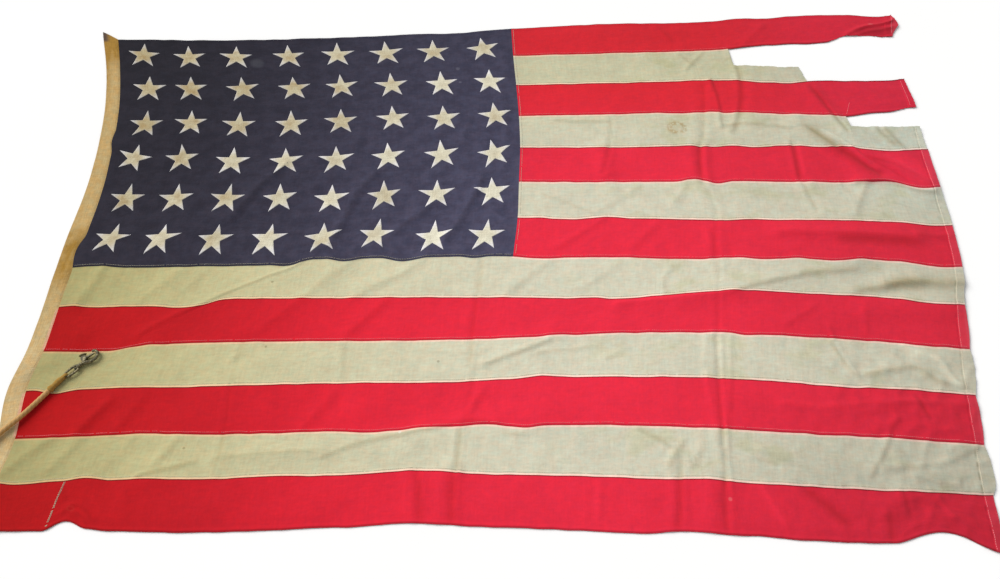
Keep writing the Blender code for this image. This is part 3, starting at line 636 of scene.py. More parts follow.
def layers(along, seam, thickness):
    """Cloth thickness with what its sewing adds: felled seams, turned white edges and hems."""
    along, seam = np.broadcast_arrays(np.asarray(along, float), np.asarray(seam, float))
    in_canton = (along < CANTON_LENGTH) & (seam < CANTON_STRIPES)
    line = np.round(seam)
    below = (seam - line) * STRIPE
    felled = ramp((below + FELL["width"]) / 0.8) * (below <= 1e-6) * (line > 0) * (line < STRIPES)
    felled = np.where(in_canton & (line < CANTON_STRIPES), 0.0, felled)
    number = np.ceil(np.clip(seam, 1e-6, STRIPES))
    white = (number % 2 == 0) & ~in_canton
    turned = ramp((TURNED_EDGE["width"] - np.abs(below)) / 0.8) * white
    built = FELL["rise"] * felled + TURNED_EDGE["rise"] * turned
    built = built + HEM_RISE * ramp((along - (FLY_LENGTH - FLY_HEM_WIDTH)) / 0.8)
    edge = np.minimum(seam, STRIPES - seam) * STRIPE
    built = built + TOP_HEM["rise"] * ramp((TOP_HEM["width"] - edge) / 0.8)
    beside_canton = ramp((4.5 - np.abs(along - CANTON_LENGTH - 2.2)) / 0.8) * (seam < CANTON_STRIPES)
    built = built + FELL["rise"] * beside_canton
    return thickness + built


def pucker(along, seam):
    """Small gathers along the sewn lines, millimetres: a random ripple within about 14 mm of a seam."""
    below = (seam - np.round(seam)) * STRIPE
    near = np.exp(-np.abs(below + 2.0) / 7.0)
    hem = np.exp(-np.abs(along - (FLY_LENGTH - FLY_HEM_WIDTH)) / 9.0)
    across = swell(along / 9.0, seam * 3.0, 8) * near + swell(seam * STRIPE / 10.0, along / 40.0, 9) * hem
    return 0.32 * across


def cloth_top(along, seam, thickness):
    """Height of the cloth's upper face, millimetres."""
    along, seam = np.broadcast_arrays(np.asarray(along, float), np.asarray(seam, float))
    return lie(along, seam) + layers(along, seam, thickness) + pucker(along, seam) * stillness(along, seam)


# --- Mesh making -------------------------------------------------------------------------------

def link(name, vertices, finish, *groups, sharp=50.0):
    """A smooth-shaded mesh object at the origin, in its own material, from groups of like faces."""
    mesh = bpy.data.meshes.new(name)
    mesh.from_pydata(vertices.reshape(-1, 3).tolist(), [], sum((group.tolist() for group in groups), []))
    mesh.update()
    mesh.polygons.foreach_set("use_smooth", np.ones(len(mesh.polygons), bool))
    mesh.set_sharp_from_angle(angle=math.radians(sharp))
    mesh.materials.append(finish)
    made = bpy.data.objects.new(name, mesh)
    bpy.context.scene.collection.objects.link(made)
    return made


def mark(piece, name, values):
    """Store a three-number attribute on the piece's points."""
    layer = piece.data.attributes.new(name, "FLOAT_VECTOR", "POINT")
    layer.data.foreach_set("vector", np.asarray(values, np.float32).reshape(-1))


def grid_faces(rows, columns, wrap=False):
    """Quads of a grid whose points run row by row; wrap joins the last column to the first."""
    index = np.arange(rows * columns).reshape(rows, columns)
    if wrap:
        index = np.concatenate([index, index[:, :1]], axis=1)
    return np.stack([index[:-1, :-1], index[1:, :-1], index[1:, 1:], index[:-1, 1:]], -1).reshape(-1, 4)


def sheet(name, along, seam, top, under, finish):
    """A closed sheet over a grid of (along, seam): an upper and an under face joined round the rim."""
    rows, columns = along.shape
    upper = world(along, seam, top).reshape(-1, 3)
    lower = world(along, seam, under).reshape(-1, 3)
    quads = grid_faces(rows, columns)
    index = np.arange(rows * columns).reshape(rows, columns)
    rim = np.concatenate([index[0, :], index[1:, -1], index[-1, -2::-1], index[-2:0:-1, 0]])
    following = np.roll(rim, -1)
    below = rows * columns
    walls = np.stack([rim, following, following + below, rim + below], -1)
    faces = np.concatenate([quads, quads[:, ::-1] + below, walls])
    piece = link(name, np.concatenate([upper, lower]), finish, faces)
    # The third number is the crease's dirt and painted shade, below 0 a painted highlight.
    lay = points(along * MM, seam * STRIPE * MM, crease_dirt_and_shade(along, seam))
    mark(piece, "lay", np.concatenate([lay, lay]))
    return piece


def beside(run):
    """Level unit vectors to the right of each run, and unit vectors square above it."""
    ahead = run / np.linalg.norm(run, axis=1)[:, None]
    side = np.cross(ahead, (0.0, 0.0, 1.0))
    side = side / np.linalg.norm(side, axis=1)[:, None]
    return side, np.cross(side, ahead)


def tube(name, line, rings, finish):
    """A closed profile carried along a path: rings holds each point's (sideways, upright) offsets."""
    side, upright = beside(np.gradient(line, axis=0))
    vertices = line[:, None] + rings[..., :1] * side[:, None] + rings[..., 1:] * upright[:, None]
    count, sides = rings.shape[:2]
    ring = np.arange(sides)
    following = np.roll(ring, -1)
    last = (count - 1) * sides
    start, end = np.full((2, sides), [[count * sides], [count * sides + 1]])
    first_cap = np.stack([ring, following, start], -1)
    last_cap = np.stack([following + last, ring + last, end], -1)
    vertices = np.concatenate([vertices.reshape(-1, 3), line[:1], line[-1:]])
    return link(name, vertices, finish, grid_faces(count, sides, wrap=True), first_cap, last_cap)


# One stitch: where its three rings sit along it, then their girth and lift in half widths of thread.
STITCH_SHARES = np.array([0.0, 0.5, 1.0])
STITCH_GIRTH = np.array([0.3, 1.0, 0.3])
STITCH_LIFT = np.array([-0.35, 0.55, -0.35])


def stitches(name, start, end, width, finish):
    """Thread stitches from start to end points: three diamond rings each, sunk at both ends."""
    run = end - start
    side, upright = beside(run)
    half = width / 2.0
    centre = start[:, None] + run[:, None] * STITCH_SHARES[:, None]
    centre = centre + upright[:, None] * (STITCH_LIFT * half)[:, None]
    corner = np.array([(1.0, 0.0), (0.0, 1.0), (-1.0, 0.0), (0.0, -1.0)])
    girth = half * STITCH_GIRTH[None, :, None, None]
    ring = corner[:, :1] * side[:, None, None] + corner[:, 1:] * upright[:, None, None]
    vertices = centre[:, :, None] + girth * ring
    body = grid_faces(3, 4, wrap=True)
    caps = np.array([(3, 2, 1, 0), (8, 9, 10, 11)])
    one = np.concatenate([body[:, ::-1], caps[:, ::-1]])
    faces = (one[None] + 12 * np.arange(len(start))[:, None, None]).reshape(-1, 4)
    return link(name, vertices, finish, faces, sharp=180.0)


def on_hook(along, left, up):
    """World metres of points in the hook's own plane, millimetres from its eye's start."""
    cosine, sine = math.cos(HOOK_TURN), math.sin(HOOK_TURN)
    x = HOOK_START[0] - CENTRE[0] + along * cosine - left * sine
    y = CENTRE[1] - HOOK_START[1] + along * sine + left * cosine
    return points(x * MM, y * MM, (HOOK_LIFT + up) * MM)


# --- Finishes ----------------------------------------------------------------------------------

# Thread pitch of each weave, millimetres, and the tint that changes nothing.
BUNTING_PITCH = 1.1
STAR_PITCH = 1.3
CANVAS_PITCH = 1.5
PLAIN = (1.0, 1.0, 1.0)


class Wire:
    """One output of a finish's node; sums of wires and numbers add their Math nodes."""

    def __init__(self, finish, socket):
        self.finish = finish
        self.socket = socket

    def maths(self, operation, *values):
        return self.finish.node("ShaderNodeMath", {"operation": operation}, dict(enumerate(values)))

    def __add__(self, other):
        return self.maths("ADD", self, other)

    def __sub__(self, other):
        return self.maths("SUBTRACT", self, other)

    def __rsub__(self, other):
        return self.maths("SUBTRACT", other, self)

    def __mul__(self, other):
        return self.maths("MULTIPLY", self, other)

    def __truediv__(self, other):
        return self.maths("DIVIDE", self, other)

    def __abs__(self):
        return self.maths("ABSOLUTE", self)

    __radd__ = __add__
    __rmul__ = __mul__

    def sine(self):
        return self.maths("SINE", self)

    def least(self, other):
        return self.maths("MINIMUM", self, other)

    def most(self, other):
        return self.maths("MAXIMUM", self, other)

    def held(self):
        """The value held between 0 and 1."""
        return self.most(0.0).least(1.0)

    def step(self, low, high):
        """0 at low and 1 at high, smooth between; low may be the larger."""
        ranges = {"Value": self, "From Min": low, "From Max": high, "To Min": 0.0, "To Max": 1.0}
        if low > high:
            ranges.update({"From Min": high, "From Max": low, "To Min": 1.0, "To Max": 0.0})
        return self.finish.node("ShaderNodeMapRange", {"interpolation_type": "SMOOTHSTEP"}, ranges)


class Finish:
    """A procedural material. node() adds any node, and the rest are short names for common ones."""

    def __init__(self, name, **constants):
        self.material = bpy.data.materials.new(name)
        self.material.use_nodes = True
        self.tree = self.material.node_tree
        self.shader = self.tree.nodes["Principled BSDF"]
        for socket, value in constants.items():
            self.shader.inputs[socket.replace("_", " ")].default_value = value

    def node(self, kind, settings=None, inputs=None, output=0):
        made = self.tree.nodes.new(kind)
        for name, value in (settings or {}).items():
            setattr(made, name, value)
        for name, value in (inputs or {}).items():
            if isinstance(value, Wire):
                self.tree.links.new(value.socket, made.inputs[name])
            else:
                made.inputs[name].default_value = value
        return Wire(self, made.outputs[output])

    def mark(self, name):
        """Three wires of a piece's own attribute."""
        vector = self.node("ShaderNodeAttribute", {"attribute_name": name}, output="Vector")
        return [self.node("ShaderNodeSeparateXYZ", None, {0: vector}, output=axis) for axis in range(3)]

    def vector(self, x, y, z=0.0):
        return self.node("ShaderNodeCombineXYZ", None, {0: x, 1: y, 2: z})

    def noise(self, vector, scale=1.0, detail=2.0, roughness=0.5):
        inputs = {"Vector": vector, "Scale": scale, "Detail": detail, "Roughness": roughness}
        return self.node("ShaderNodeTexNoise", None, inputs, output="Fac")

    def mix(self, share, first, second, blend="MIX"):
        """Colours mixed by share; a plain colour is three numbers."""
        first, second = ((*c, 1.0) if isinstance(c, tuple) else c for c in (first, second))
        settings = {"data_type": "RGBA", "blend_type": blend}
        return self.node("ShaderNodeMix", settings, {0: share, 6: first, 7: second}, output=2)

    def tint(self, colour, by):
        """A colour multiplied by another colour."""
        return self.mix(1.0, colour, by, "MULTIPLY")

    def shade(self, colour, by):
        """A colour multiplied by one value."""
        return self.tint(colour, self.node("ShaderNodeCombineColor", None, {0: by, 1: by, 2: by}))

    def coats(self, colour, *coats):
        """A colour under thin coats, each of them a mask and the colour it brings."""
        for mask, tone in coats:
            colour = self.mix(mask, colour, tone)
        return colour

    def bump(self, height, distance, strength):
        """Feed the shader's normal from a height in parts of distance, metres."""
        inputs = {"Strength": strength, "Distance": distance, "Height": height}
        return self.node("ShaderNodeBump", None, inputs)

    def feed(self, **wires):
        for socket, wire in wires.items():
            self.tree.links.new(wire.socket, self.shader.inputs[socket.replace("_", " ")])
        return self.material


def weave(x, y, pitch):
    """Plain weave from -1 to 1: the product of two sines of a pitch in millimetres."""
    per_metre = TURN / (pitch * MM)
    return (x * per_metre).sine() * (y * per_metre).sine()


def spot(x, y, place, half, soft=0.5):
    """Mask of an oval mark at a place on the cloth, millimetres, soft towards its rim."""
    across = (x - place[0] * MM) / (half[0] * MM)
    down = (y - place[1] * MM) / (half[1] * MM)
    return (across * across + down * down).step(1.0 + soft, 1.0 - soft)


def spots(x, y, table):
    """The masks of a table of (along, down, half size) specks, added up."""
    total = 0.0
    for along, down, half in table:
        total = spot(x, y, (along, down), (half, half), 0.6) + total
    return total


def cloth_finish(name, colour, thread, fade=0.46, veil=(1.08, 1.0, 0.50), soot=0.0, dull=0.0,
                 yellow=(1.0, 1.0, 0.87), edge=None):
    """Worn bunting: plain weave, uneven threads, blotches, fading with painted light falloff, yellowing at
    the hoist, and dirt with painted shade in the creases.
    """
    finish = Finish(name, Roughness=0.92, Specular_IOR_Level=0.12, Sheen_Weight=0.04, Sheen_Roughness=0.6)
    x, y, dirt_and_shade = finish.mark("lay")
    seam = y / (STRIPE * MM)

    weft = finish.noise(finish.vector(x * 48.0, y * 230.0), detail=2.0, roughness=0.7)
    warp = finish.noise(finish.vector(x * 240.0, y * 26.0, 7.0), detail=2.0, roughness=0.7)
    blotch = finish.noise(finish.vector(x * 26.0, y * 40.0, 3.0), detail=3.0, roughness=0.6)
    patch = finish.noise(finish.vector(x * 7.0, y * 8.0, 1.0), detail=2.0)
    speckle = finish.noise(finish.vector(x * 95.0, y * 125.0, 5.0), detail=3.0, roughness=0.7)
    tint = finish.noise(finish.vector(x * 62.0, y * 85.0, 11.0), detail=2.0, roughness=0.8)

    shade = 1.0 + (weft - 0.5) * thread + (warp - 0.5) * (thread * 0.8)
    shade = shade + (blotch - 0.5) * (thread * 0.8) + (speckle - 0.5) * (thread * 0.7) + (patch - 0.5) * 0.16
    # Darker towards both ends and towards the top and the foot: partly fading, partly painted light falloff.
    # The creases' dirt and painted shade darken it as well.
    off_middle = (x - 0.92) / 0.9
    hoist_half = x.step(0.0, 0.28) * x.step(0.58, 0.28)
    shade = shade * (1.0 - off_middle * off_middle * fade) * (1.0 - hoist_half * dull)
    high = (seam - 8.6) / 8.6
    shade = shade * (1.0 - high * high * 0.21) * (1.0 - dirt_and_shade * 0.09)
    shade = shade * (1.0 - x.step(1.02, 1.36) * seam.step(8.6, 12.6) * 0.15)
    # Painted shade beside the roll at the lower fly.
    roll_shade = x.step(1.2, 1.34) * x.step(1.5, 1.4) * seam.step(6.2, 7.0) * seam.step(9.4, 8.8)
    shade = shade * (1.0 - roll_shade * 0.07)
    # The navy darker towards the hoist and the top, lighter towards the fly: partly fading, partly painted
    # light falloff.
    if soot:
        towards_top = (1.0 - seam / CANTON_STRIPES) * (0.40 - x * 0.27)
        shade = shade * (1.0 - x.step(0.62, 0.04) * soot) * (1.0 - towards_top)
        shade = shade * (0.90 + x.step(0.35, 0.80) * 0.25)
    else:
        shade = shade * (1.0 + x.step(1.25, 1.55) * seam.step(1.3, 0.7) * 0.13)

    warm = finish.mix(tint.step(0.28, 0.72), (1.045, 0.975, 0.95), (0.955, 1.02, 1.04))
    body = finish.tint(colour, warm)
    if edge:
        body = edge(finish, x, y, seam, body)
    by_canton = x.step(1.5, 1.15) * seam.step(4.6, 1.6) * x.step(0.80, 0.82)
    upper_fly = x.step(1.36, 1.58) * seam.step(6.4, 4.6) * seam.step(1.0, 2.0)
    body = finish.tint(body, finish.mix(x.step(-0.3, 0.95), veil, PLAIN))
    body = finish.tint(body, finish.mix(upper_fly, PLAIN, (1.09, 1.17, 1.24)))
    # Creases warmer and darker: dirt with painted shade.
    body = finish.tint(body, finish.mix((dirt_and_shade * 0.5).held(), PLAIN, (0.80, 0.72, 0.58)))
    body = finish.tint(body, finish.mix(by_canton, PLAIN, yellow))
    body = finish.shade(body, shade)

    height = weave(x, y, BUNTING_PITCH) * 0.16 + (weft + warp) * 1.2 + speckle * 3.4 + blotch * 2.0
    return finish.feed(Base_Color=body, Normal=finish.bump(height, 0.0002, 0.7))


def hem_marks(finish, x, seam):
    """Masks at the fly hem: the doubled band past its sewn line, and a darker line just before it."""
    line = (FLY_LENGTH - FLY_HEM_WIDTH) * MM
    uneven = finish.noise(finish.vector(seam * 6.0, x * 3.0, 12.0), detail=2.0)
    below_tear = seam.step(3.0, 3.1)
    band = x.step(line - 0.0005, line + 0.0005) * below_tear
    before = x.step(line - 0.0045, line - 0.0015) * x.step(line + 0.0004, line - 0.0004)
    return band, before * below_tear * uneven.step(0.35, 0.6)


def seam_offset(seam):
    """Millimetres below the nearest seam line, above it as a negative number."""
    line = seam.maths("ROUND", seam)
    return (seam - line) * STRIPE


def white_edges(finish, x, y, seam, colour):
    """Pinkish cream turned edges, smudges, a brown ring and stain, dark and pale specks."""
    wear_and_shade = finish.noise(finish.vector(x * 90.0, y * 20.0, 2.0), detail=2.0)
    under_canton = x.step(0.806, 0.81) + seam.step(7.3, 7.6)
    rim = abs(seam_offset(seam)).step(3.8, 1.8) * (0.6 + wear_and_shade * 0.7).least(1.0) * under_canton.least(1.0)
    band, crease = hem_marks(finish, x, seam)
    on_lowest = seam.step(11.0, 11.3) * seam.step(12.0, 11.8)
    smudge = finish.noise(finish.vector(x * 13.0, y * 20.0, 27.0), detail=4.0, roughness=0.6)
    grain = finish.noise(finish.vector(x, y, 9.0), scale=150.0, detail=2.0)
    inside = spot(x, y, (1122.0, 283.0), (11.0, 9.0), 0.6)
    ring = spot(x, y, (1120.0, 282.0), (19.0, 16.0), 0.5) - inside * 0.7
    stain = spot(x, y, (1131.0, 956.0), (16.0, 14.0), 0.9) * grain.step(0.44, 0.6)
    return finish.coats(
        colour,
        (rim, (1.0, 0.68, 0.57)),
        (band * 0.25, (0.66, 0.63, 0.50)),
        (crease * (0.35 + on_lowest * 0.3), (0.30, 0.27, 0.18)),
        (smudge.step(0.50, 0.68) * x.step(0.80, 1.10) * 0.55, (0.535, 0.525, 0.33)),
        ((ring * grain.step(0.36, 0.60) * 0.75).held(), (0.44, 0.31, 0.15)),
        ((stain * 0.2).least(1.0), (0.40, 0.33, 0.21)),
        ((spots(x, y, DARK_SPECKS) * 0.5).least(1.0), (0.24, 0.20, 0.13)),
        ((spots(x, y, PALE_SPECKS) * 0.7).least(1.0), (0.86, 0.84, 0.80)))


def red_edges(finish, x, y, seam, colour):
    """Darker red where a seam shades it and along the felled edge, painted shade on the top tail's turned
    end, and pale rubs.
    """
    offset = seam_offset(seam)
    under_white = offset.step(2.4, 0.6) * offset.step(-0.2, 0.1)
    above_white = offset.step(-3.4, -2.0) * offset.step(0.2, -0.1)
    rub = spot(x, y, (1556.0, 36.0), (5.0, 5.0), 0.8) + spot(x, y, (1181.0, 1012.0), (3.0, 3.0), 0.8)
    # Painted shade over the turned-over end of the top tail.
    turned_end_shade = spot(x, y, (1570.0, 62.0), (44.0, 15.0), 0.5)
    band, crease = hem_marks(finish, x, seam)
    ring = spot(x, y, (128.0, 1043.0), (6.5, 5.5), 0.5) - spot(x, y, (128.0, 1043.0), (3.6, 3.0), 0.5)
    return finish.coats(
        colour,
        (under_white * 0.75, (0.22, 0.012, 0.02)),
        (above_white * 0.55, (0.27, 0.012, 0.02)),
        ((rub * 0.3).least(1.0), (0.85, 0.30, 0.30)),
        (turned_end_shade * 0.5, (0.40, 0.010, 0.025)),
        (band * 0.10 + x.step(1.5965, 1.6) * 0.12, (0.80, 0.22, 0.28)),
        (crease * 0.35, (0.35, 0.012, 0.03)),
        ((ring * 0.16).held(), (0.80, 0.22, 0.22)))


def navy_edges(finish, x, y, seam, colour):
    """A pale worn spot and specks, mottled fading, and a darker felled band at the foot."""
    foot = (seam - CANTON_STRIPES) * STRIPE
    mottle = finish.noise(finish.vector(x * 34.0, y * 42.0, 21.0), detail=3.0, roughness=0.65)
    mottled = finish.mix(mottle.step(0.34, 0.66), (0.84, 0.84, 0.86), (1.16, 1.16, 1.14))
    pale = spot(x, y, (283.0, 71.0), (13.0, 13.0), 0.9)
    specks = spot(x, y, (694.0, 110.0), (4.0, 4.0), 0.9) + spot(x, y, (696.0, 149.0), (3.0, 2.6), 0.9)
    return finish.coats(
        finish.tint(colour, mottled),
        (foot.step(-5.6, -4.6) * 0.5, (0.020, 0.020, 0.034)),
        (pale * 0.22, (0.30, 0.33, 0.40)),
        (specks * 0.22, (0.30, 0.30, 0.38)))


def thread_finish(name, colour):
    """Sewing thread: a little sheen and uneven colour along its run."""
    finish = Finish(name, Roughness=0.75, Specular_IOR_Level=0.25)
    at = finish.node("ShaderNodeTexCoord", output="Object")
    uneven = finish.noise(at, scale=420.0, detail=1.0)
    worn = finish.noise(at, scale=30.0, detail=2.0)
    dull = tuple(c * 0.72 for c in colour)
    return finish.feed(Base_Color=finish.mix((uneven * 0.6 + worn * 0.5).step(0.35, 0.75), dull, colour))


def star_finish(name, colour):
    """Cotton star: canvas weave, tea-coloured middle, whiter points and a sewn rim."""
    finish = Finish(name, Roughness=0.9, Specular_IOR_Level=0.15)
    x, y, number = finish.mark("lay")
    reach, rim, dirt_and_shade = finish.mark("star")
    threads = finish.noise(finish.vector(x * 60.0, y * 420.0, number), detail=1.0)
    cross = finish.noise(finish.vector(x * 420.0, y * 60.0, number + 3.0), detail=1.0)
    shade = 1.0 + (threads - 0.5) * 0.40 + (cross - 0.5) * 0.35
    tea = finish.noise(finish.vector(x, y, number * 0.37), scale=52.0, detail=2.0)
    # The star's soil value greys the points and browns the middle: soiling, partly painted light falloff
    # towards the upper left.
    browned = ((tea - 0.30) * 1.9 * dirt_and_shade * (1.15 - reach)).held()
    whiter = reach.step(0.30, 0.90)
    points = finish.mix((dirt_and_shade * 0.8).least(1.0), (0.90, 0.87, 0.90), (0.45, 0.45, 0.44))
    middle = finish.mix((dirt_and_shade * 0.75).least(1.0), (0.82, 0.79, 0.64), colour)
    body = finish.mix(whiter, middle, points)
    body = finish.mix(browned, body, (0.36, 0.24, 0.10))
    body = finish.shade(body, shade)
    body = finish.mix(rim.step(0.86, 1.0) * 0.35, body, (0.80, 0.78, 0.76))
    height = weave(x, y, STAR_PITCH) * 0.5 + threads * 2.0 + cross * 2.0
    return finish.feed(Base_Color=body, Normal=finish.bump(height, 0.0002, 0.8))


def canvas_finish(name, colour):
    """Heading canvas: coarse weave, rust and tea stains by the top and the middle, paler foot, painted shade
    along the rounded outer edge.
    """
    finish = Finish(name, Roughness=0.9, Specular_IOR_Level=0.15)
    x, y, _side = finish.mark("lay")
    seam = y / (STRIPE * MM)
    cords = finish.noise(finish.vector(x * 500.0, y * 40.0), detail=2.0)
    picks = finish.noise(finish.vector(x * 60.0, y * 320.0, 4.0), detail=2.0)
    mottle = finish.noise(finish.vector(x * 120.0, y * 90.0, 8.0), detail=3.0, roughness=0.7)
    shade = 1.0 + (cords - 0.5) * 0.34 + (picks - 0.5) * 0.34 + (mottle - 0.5) * 0.40
    blotch = finish.noise(finish.vector(x * 34.0, y * 22.0, 6.0), detail=3.0, roughness=0.6)
    tint = finish.noise(finish.vector(x * 70.0, y * 60.0, 15.0), detail=2.0, roughness=0.7)
    body = finish.mix(seam.step(7.4, 9.4) * 0.6, colour, (0.66, 0.50, 0.27))
    body = finish.tint(body, finish.mix(tint.step(0.3, 0.7), (1.06, 0.97, 0.86), (0.95, 1.02, 1.10)))
    top = seam.step(1.5, 0.1) * 0.9 + seam.step(5.7, 6.3) * seam.step(7.9, 6.9) * 0.9
    outer = x.step(-0.014, -0.028) * seam.step(3.4, 1.0) * 0.6 + x.step(-0.020, -0.029) * 0.15
    blotchy = (blotch.step(0.36, 0.68) * 0.55 + 0.45) * (0.12 + top + outer)
    stain = (blotchy + seam.step(1.3, 0.2) * (x.step(-0.012, -0.024) * 0.3 + 0.4)).least(1.0)
    beside_red = (seam * math.pi).sine().step(0.0, 0.25) * seam.step(7.9, 8.05)
    corner = seam.step(0.14, 0.0) * x.step(-0.014, -0.026)
    body = finish.coats(
        body,
        (stain, (0.36, 0.20, 0.038)),
        (x.step(-0.0056, -0.0026) * beside_red * 0.6, (0.95, 0.48, 0.36)),
        # Painted shade along the rounded outer edge.
        (x.step(-0.0266, -0.0298) * 0.35, (0.20, 0.15, 0.09)),
        (corner * 0.85, (0.06, 0.045, 0.05)))
    body = finish.shade(body, shade)
    height = weave(x, y, CANVAS_PITCH) * 0.6 + cords * 2.0 + picks * 2.0 + mottle * 3.0
    return finish.feed(Base_Color=body, Normal=finish.bump(height, 0.00025, 0.8))


def cord_finish(name, colour, side, soil_share=0.3):
    """Laid cotton cord: fibres along the strands, painted orange-brown shade in the grooves and on the sides,
    olive soiling.
    """
    finish = Finish(name, Roughness=0.85, Specular_IOR_Level=0.2)
    reach, around, groove_shade = finish.mark("lay")
    fibres = finish.noise(finish.vector(reach * 260.0, around * 30.0), detail=2.0)
    dirt_and_shade = finish.noise(finish.vector(reach * 34.0, around * 1.2, 2.0), detail=2.0)
    upper = (around * TURN).sine()
    body = finish.coats(
        finish.mix(fibres.step(0.3, 0.75), tuple(c * 0.80 for c in colour), colour),
        # Painted shade: the sides and underside take the darker side colour, lighter on top, and the grooves
        # between the strands are darkened.
        (upper.step(0.85, 0.2) * 0.85, side),
        (groove_shade * 0.5, (0.26, 0.14, 0.035)),
        ((dirt_and_shade.step(0.42, 0.7) * soil_share).least(1.0), (0.27, 0.20, 0.06)))
    return finish.feed(Base_Color=body, Normal=finish.bump(fibres, 0.0003, 0.8))


def iron_finish(name, colour):
    """Old snap-hook metal: dark olive patina, rubbed in patches, fine pitting."""
    finish = Finish(name, Specular_IOR_Level=0.5)
    at = finish.node("ShaderNodeTexCoord", output="Object")
    patches = finish.noise(at, scale=260.0, detail=3.0)
    pits = finish.noise(at, scale=1500.0, detail=2.0)
    patina = patches.step(0.40, 0.58)
    body = finish.mix(patina, (0.20, 0.165, 0.075), colour)
    body = finish.mix(pits.step(0.6, 0.72) * 0.5, body, (0.12, 0.13, 0.08))
    return finish.feed(Base_Color=body, Metallic=0.25 - patina * 0.2, Roughness=0.42 + patina * 0.2,
                       Normal=finish.bump(pits, 0.00008, 0.5))


def floor_finish():
    """Plain pale floor."""
    finish = Finish("pale floor", Roughness=0.9, Specular_IOR_Level=0.1)
    grain = finish.noise(finish.node("ShaderNodeTexCoord", output="Object"), scale=3.0, detail=1.0)
    return finish.feed(Base_Color=finish.mix(grain, (0.93, 0.93, 0.93), (0.95, 0.95, 0.95)))


# --- What a user may change --------------------------------------------------------------------

def length_property(name, text, value):
    return bpy.props.FloatProperty(name=name, description=text, default=value, min=0.0, unit="LENGTH",
                                   subtype="DISTANCE", precision=5)


def colour_property(name, text, value):
    return bpy.props.FloatVectorProperty(name=name, description=text, default=value, min=0.0, max=1.0,
                                         subtype="COLOR")


class FLAG_PG_sizes(bpy.types.PropertyGroup):
    """Sizes of the sewn work."""

    cloth: length_property("Cloth", "Thickness of the bunting", 0.0009)
    heading: length_property("Heading", "Thickness of the canvas heading", 0.0016)
    star: length_property("Star", "From a star's middle to its points", 0.0362)
    star_notch: bpy.props.FloatProperty(name="Star notch", description="Inner to outer radius of a star",
                                        default=0.36, min=0.2, max=0.7)
    star_rise: length_property("Star rise", "How far a star stands over the cloth", 0.0006)
    stitch: length_property("Stitch", "Length of one stitch with its gap", 0.0032)
    thread: length_property("Thread", "Thickness of the sewing thread", 0.0009)
    cord: length_property("Cord", "Diameter of the halyard", 0.009)


class FLAG_PG_colours(bpy.types.PropertyGroup):
    """Colours of the cloth, thread, cord and metal."""

    red: colour_property("Red", "Red bunting", (0.78, 0.0220, 0.053))
    white: colour_property("White", "White bunting", (0.625, 0.60, 0.465))
    navy: colour_property("Navy", "Navy bunting", (0.0565, 0.0535, 0.094))
    star: colour_property("Star", "Soiled cotton of the stars", (0.40, 0.33, 0.165))
    canvas: colour_property("Canvas", "Canvas heading", (0.55, 0.39, 0.175))
    thread: colour_property("Thread", "Sewing thread, taking up the red", (0.95, 0.27, 0.30))
    cord: colour_property("Cord", "Halyard", (0.62, 0.36, 0.145))
    binding: colour_property("Binding", "Bound end of the halyard", (0.42, 0.25, 0.055))
    iron: colour_property("Iron", "Snap hook", (0.066, 0.054, 0.018))


def settings():
    return bpy.context.scene.flag_sizes, bpy.context.scene.flag_colours


def finish_of(name, make, *values, **more):
    """A finish made once and then shared by its pieces."""
    return bpy.data.materials.get(name) or make(name, *values, **more)


def bunting(kind):
    """The finish of a stripe by its number, red when odd, or of the canton."""
    _sizes, colours = settings()
    if kind == "canton":
        return finish_of("navy cloth", cloth_finish, tuple(colours.navy), 0.34, fade=0.0,
                         veil=(1.07, 0.99, 0.88), soot=0.54, edge=navy_edges)
    if kind % 2:
        return finish_of("red cloth", cloth_finish, tuple(colours.red), 0.17, fade=0.47,
                         veil=(1.03, 0.15, 0.0), dull=0.12,
                         yellow=(0.96, 0.84, 0.62), edge=red_edges)
    return finish_of("white cloth", cloth_finish, tuple(colours.white), 0.27, fade=0.43,
                     veil=(1.13, 1.045, 0.51), edge=white_edges)


def thread_of(kind):
    """Thread that has taken up its cloth's colour: pink on red, cream on white, tan on navy."""
    _sizes, colours = settings()
    shade = {"pink": tuple(colours.thread), "cream": (0.72, 0.62, 0.47), "tan": (0.56, 0.51, 0.40)}[kind]
    return finish_of(f"{kind} thread", thread_finish, shade)


# --- The pieces --------------------------------------------------------------------------------

def rows_across(depth, spacing):
    """Rows across a piece, in seams from its upper edge: gathered at both sewn edges, even between."""
    edge = np.array(EDGE_ROWS) / STRIPE
    count = int((depth * STRIPE - 2 * EDGE_ROWS[-1]) / spacing)
    middle = np.linspace(edge[-1], depth - edge[-1], count + 2)[1:-1]
    return np.concatenate([edge, middle, depth - edge[::-1]])


def columns_along(start, end, extra=()):
    """Columns from start to end: whole numbers of the running sum of 1 / spacing, and the extra ones."""
    fine = np.arange(start, end, 1.0)
    froms, spacings = zip(*COLUMN_SPACING)
    steps = np.cumsum(1.0 / np.array(spacings)[np.searchsorted(froms, fine, side="right") - 1])
    even = np.interp(np.arange(1.0, steps[-1]), steps, fine)
    hem = FLY_LENGTH - FLY_HEM_WIDTH + np.array([-1.0, 0.0, 1.0])
    stations = np.sort(np.concatenate([even, hem, extra]))
    stations = stations[(stations > start + 0.3) & (stations < end - 0.3)]
    apart = np.concatenate([[True], np.diff(stations) > 0.25])
    return np.concatenate([[start], stations[apart], [end]])


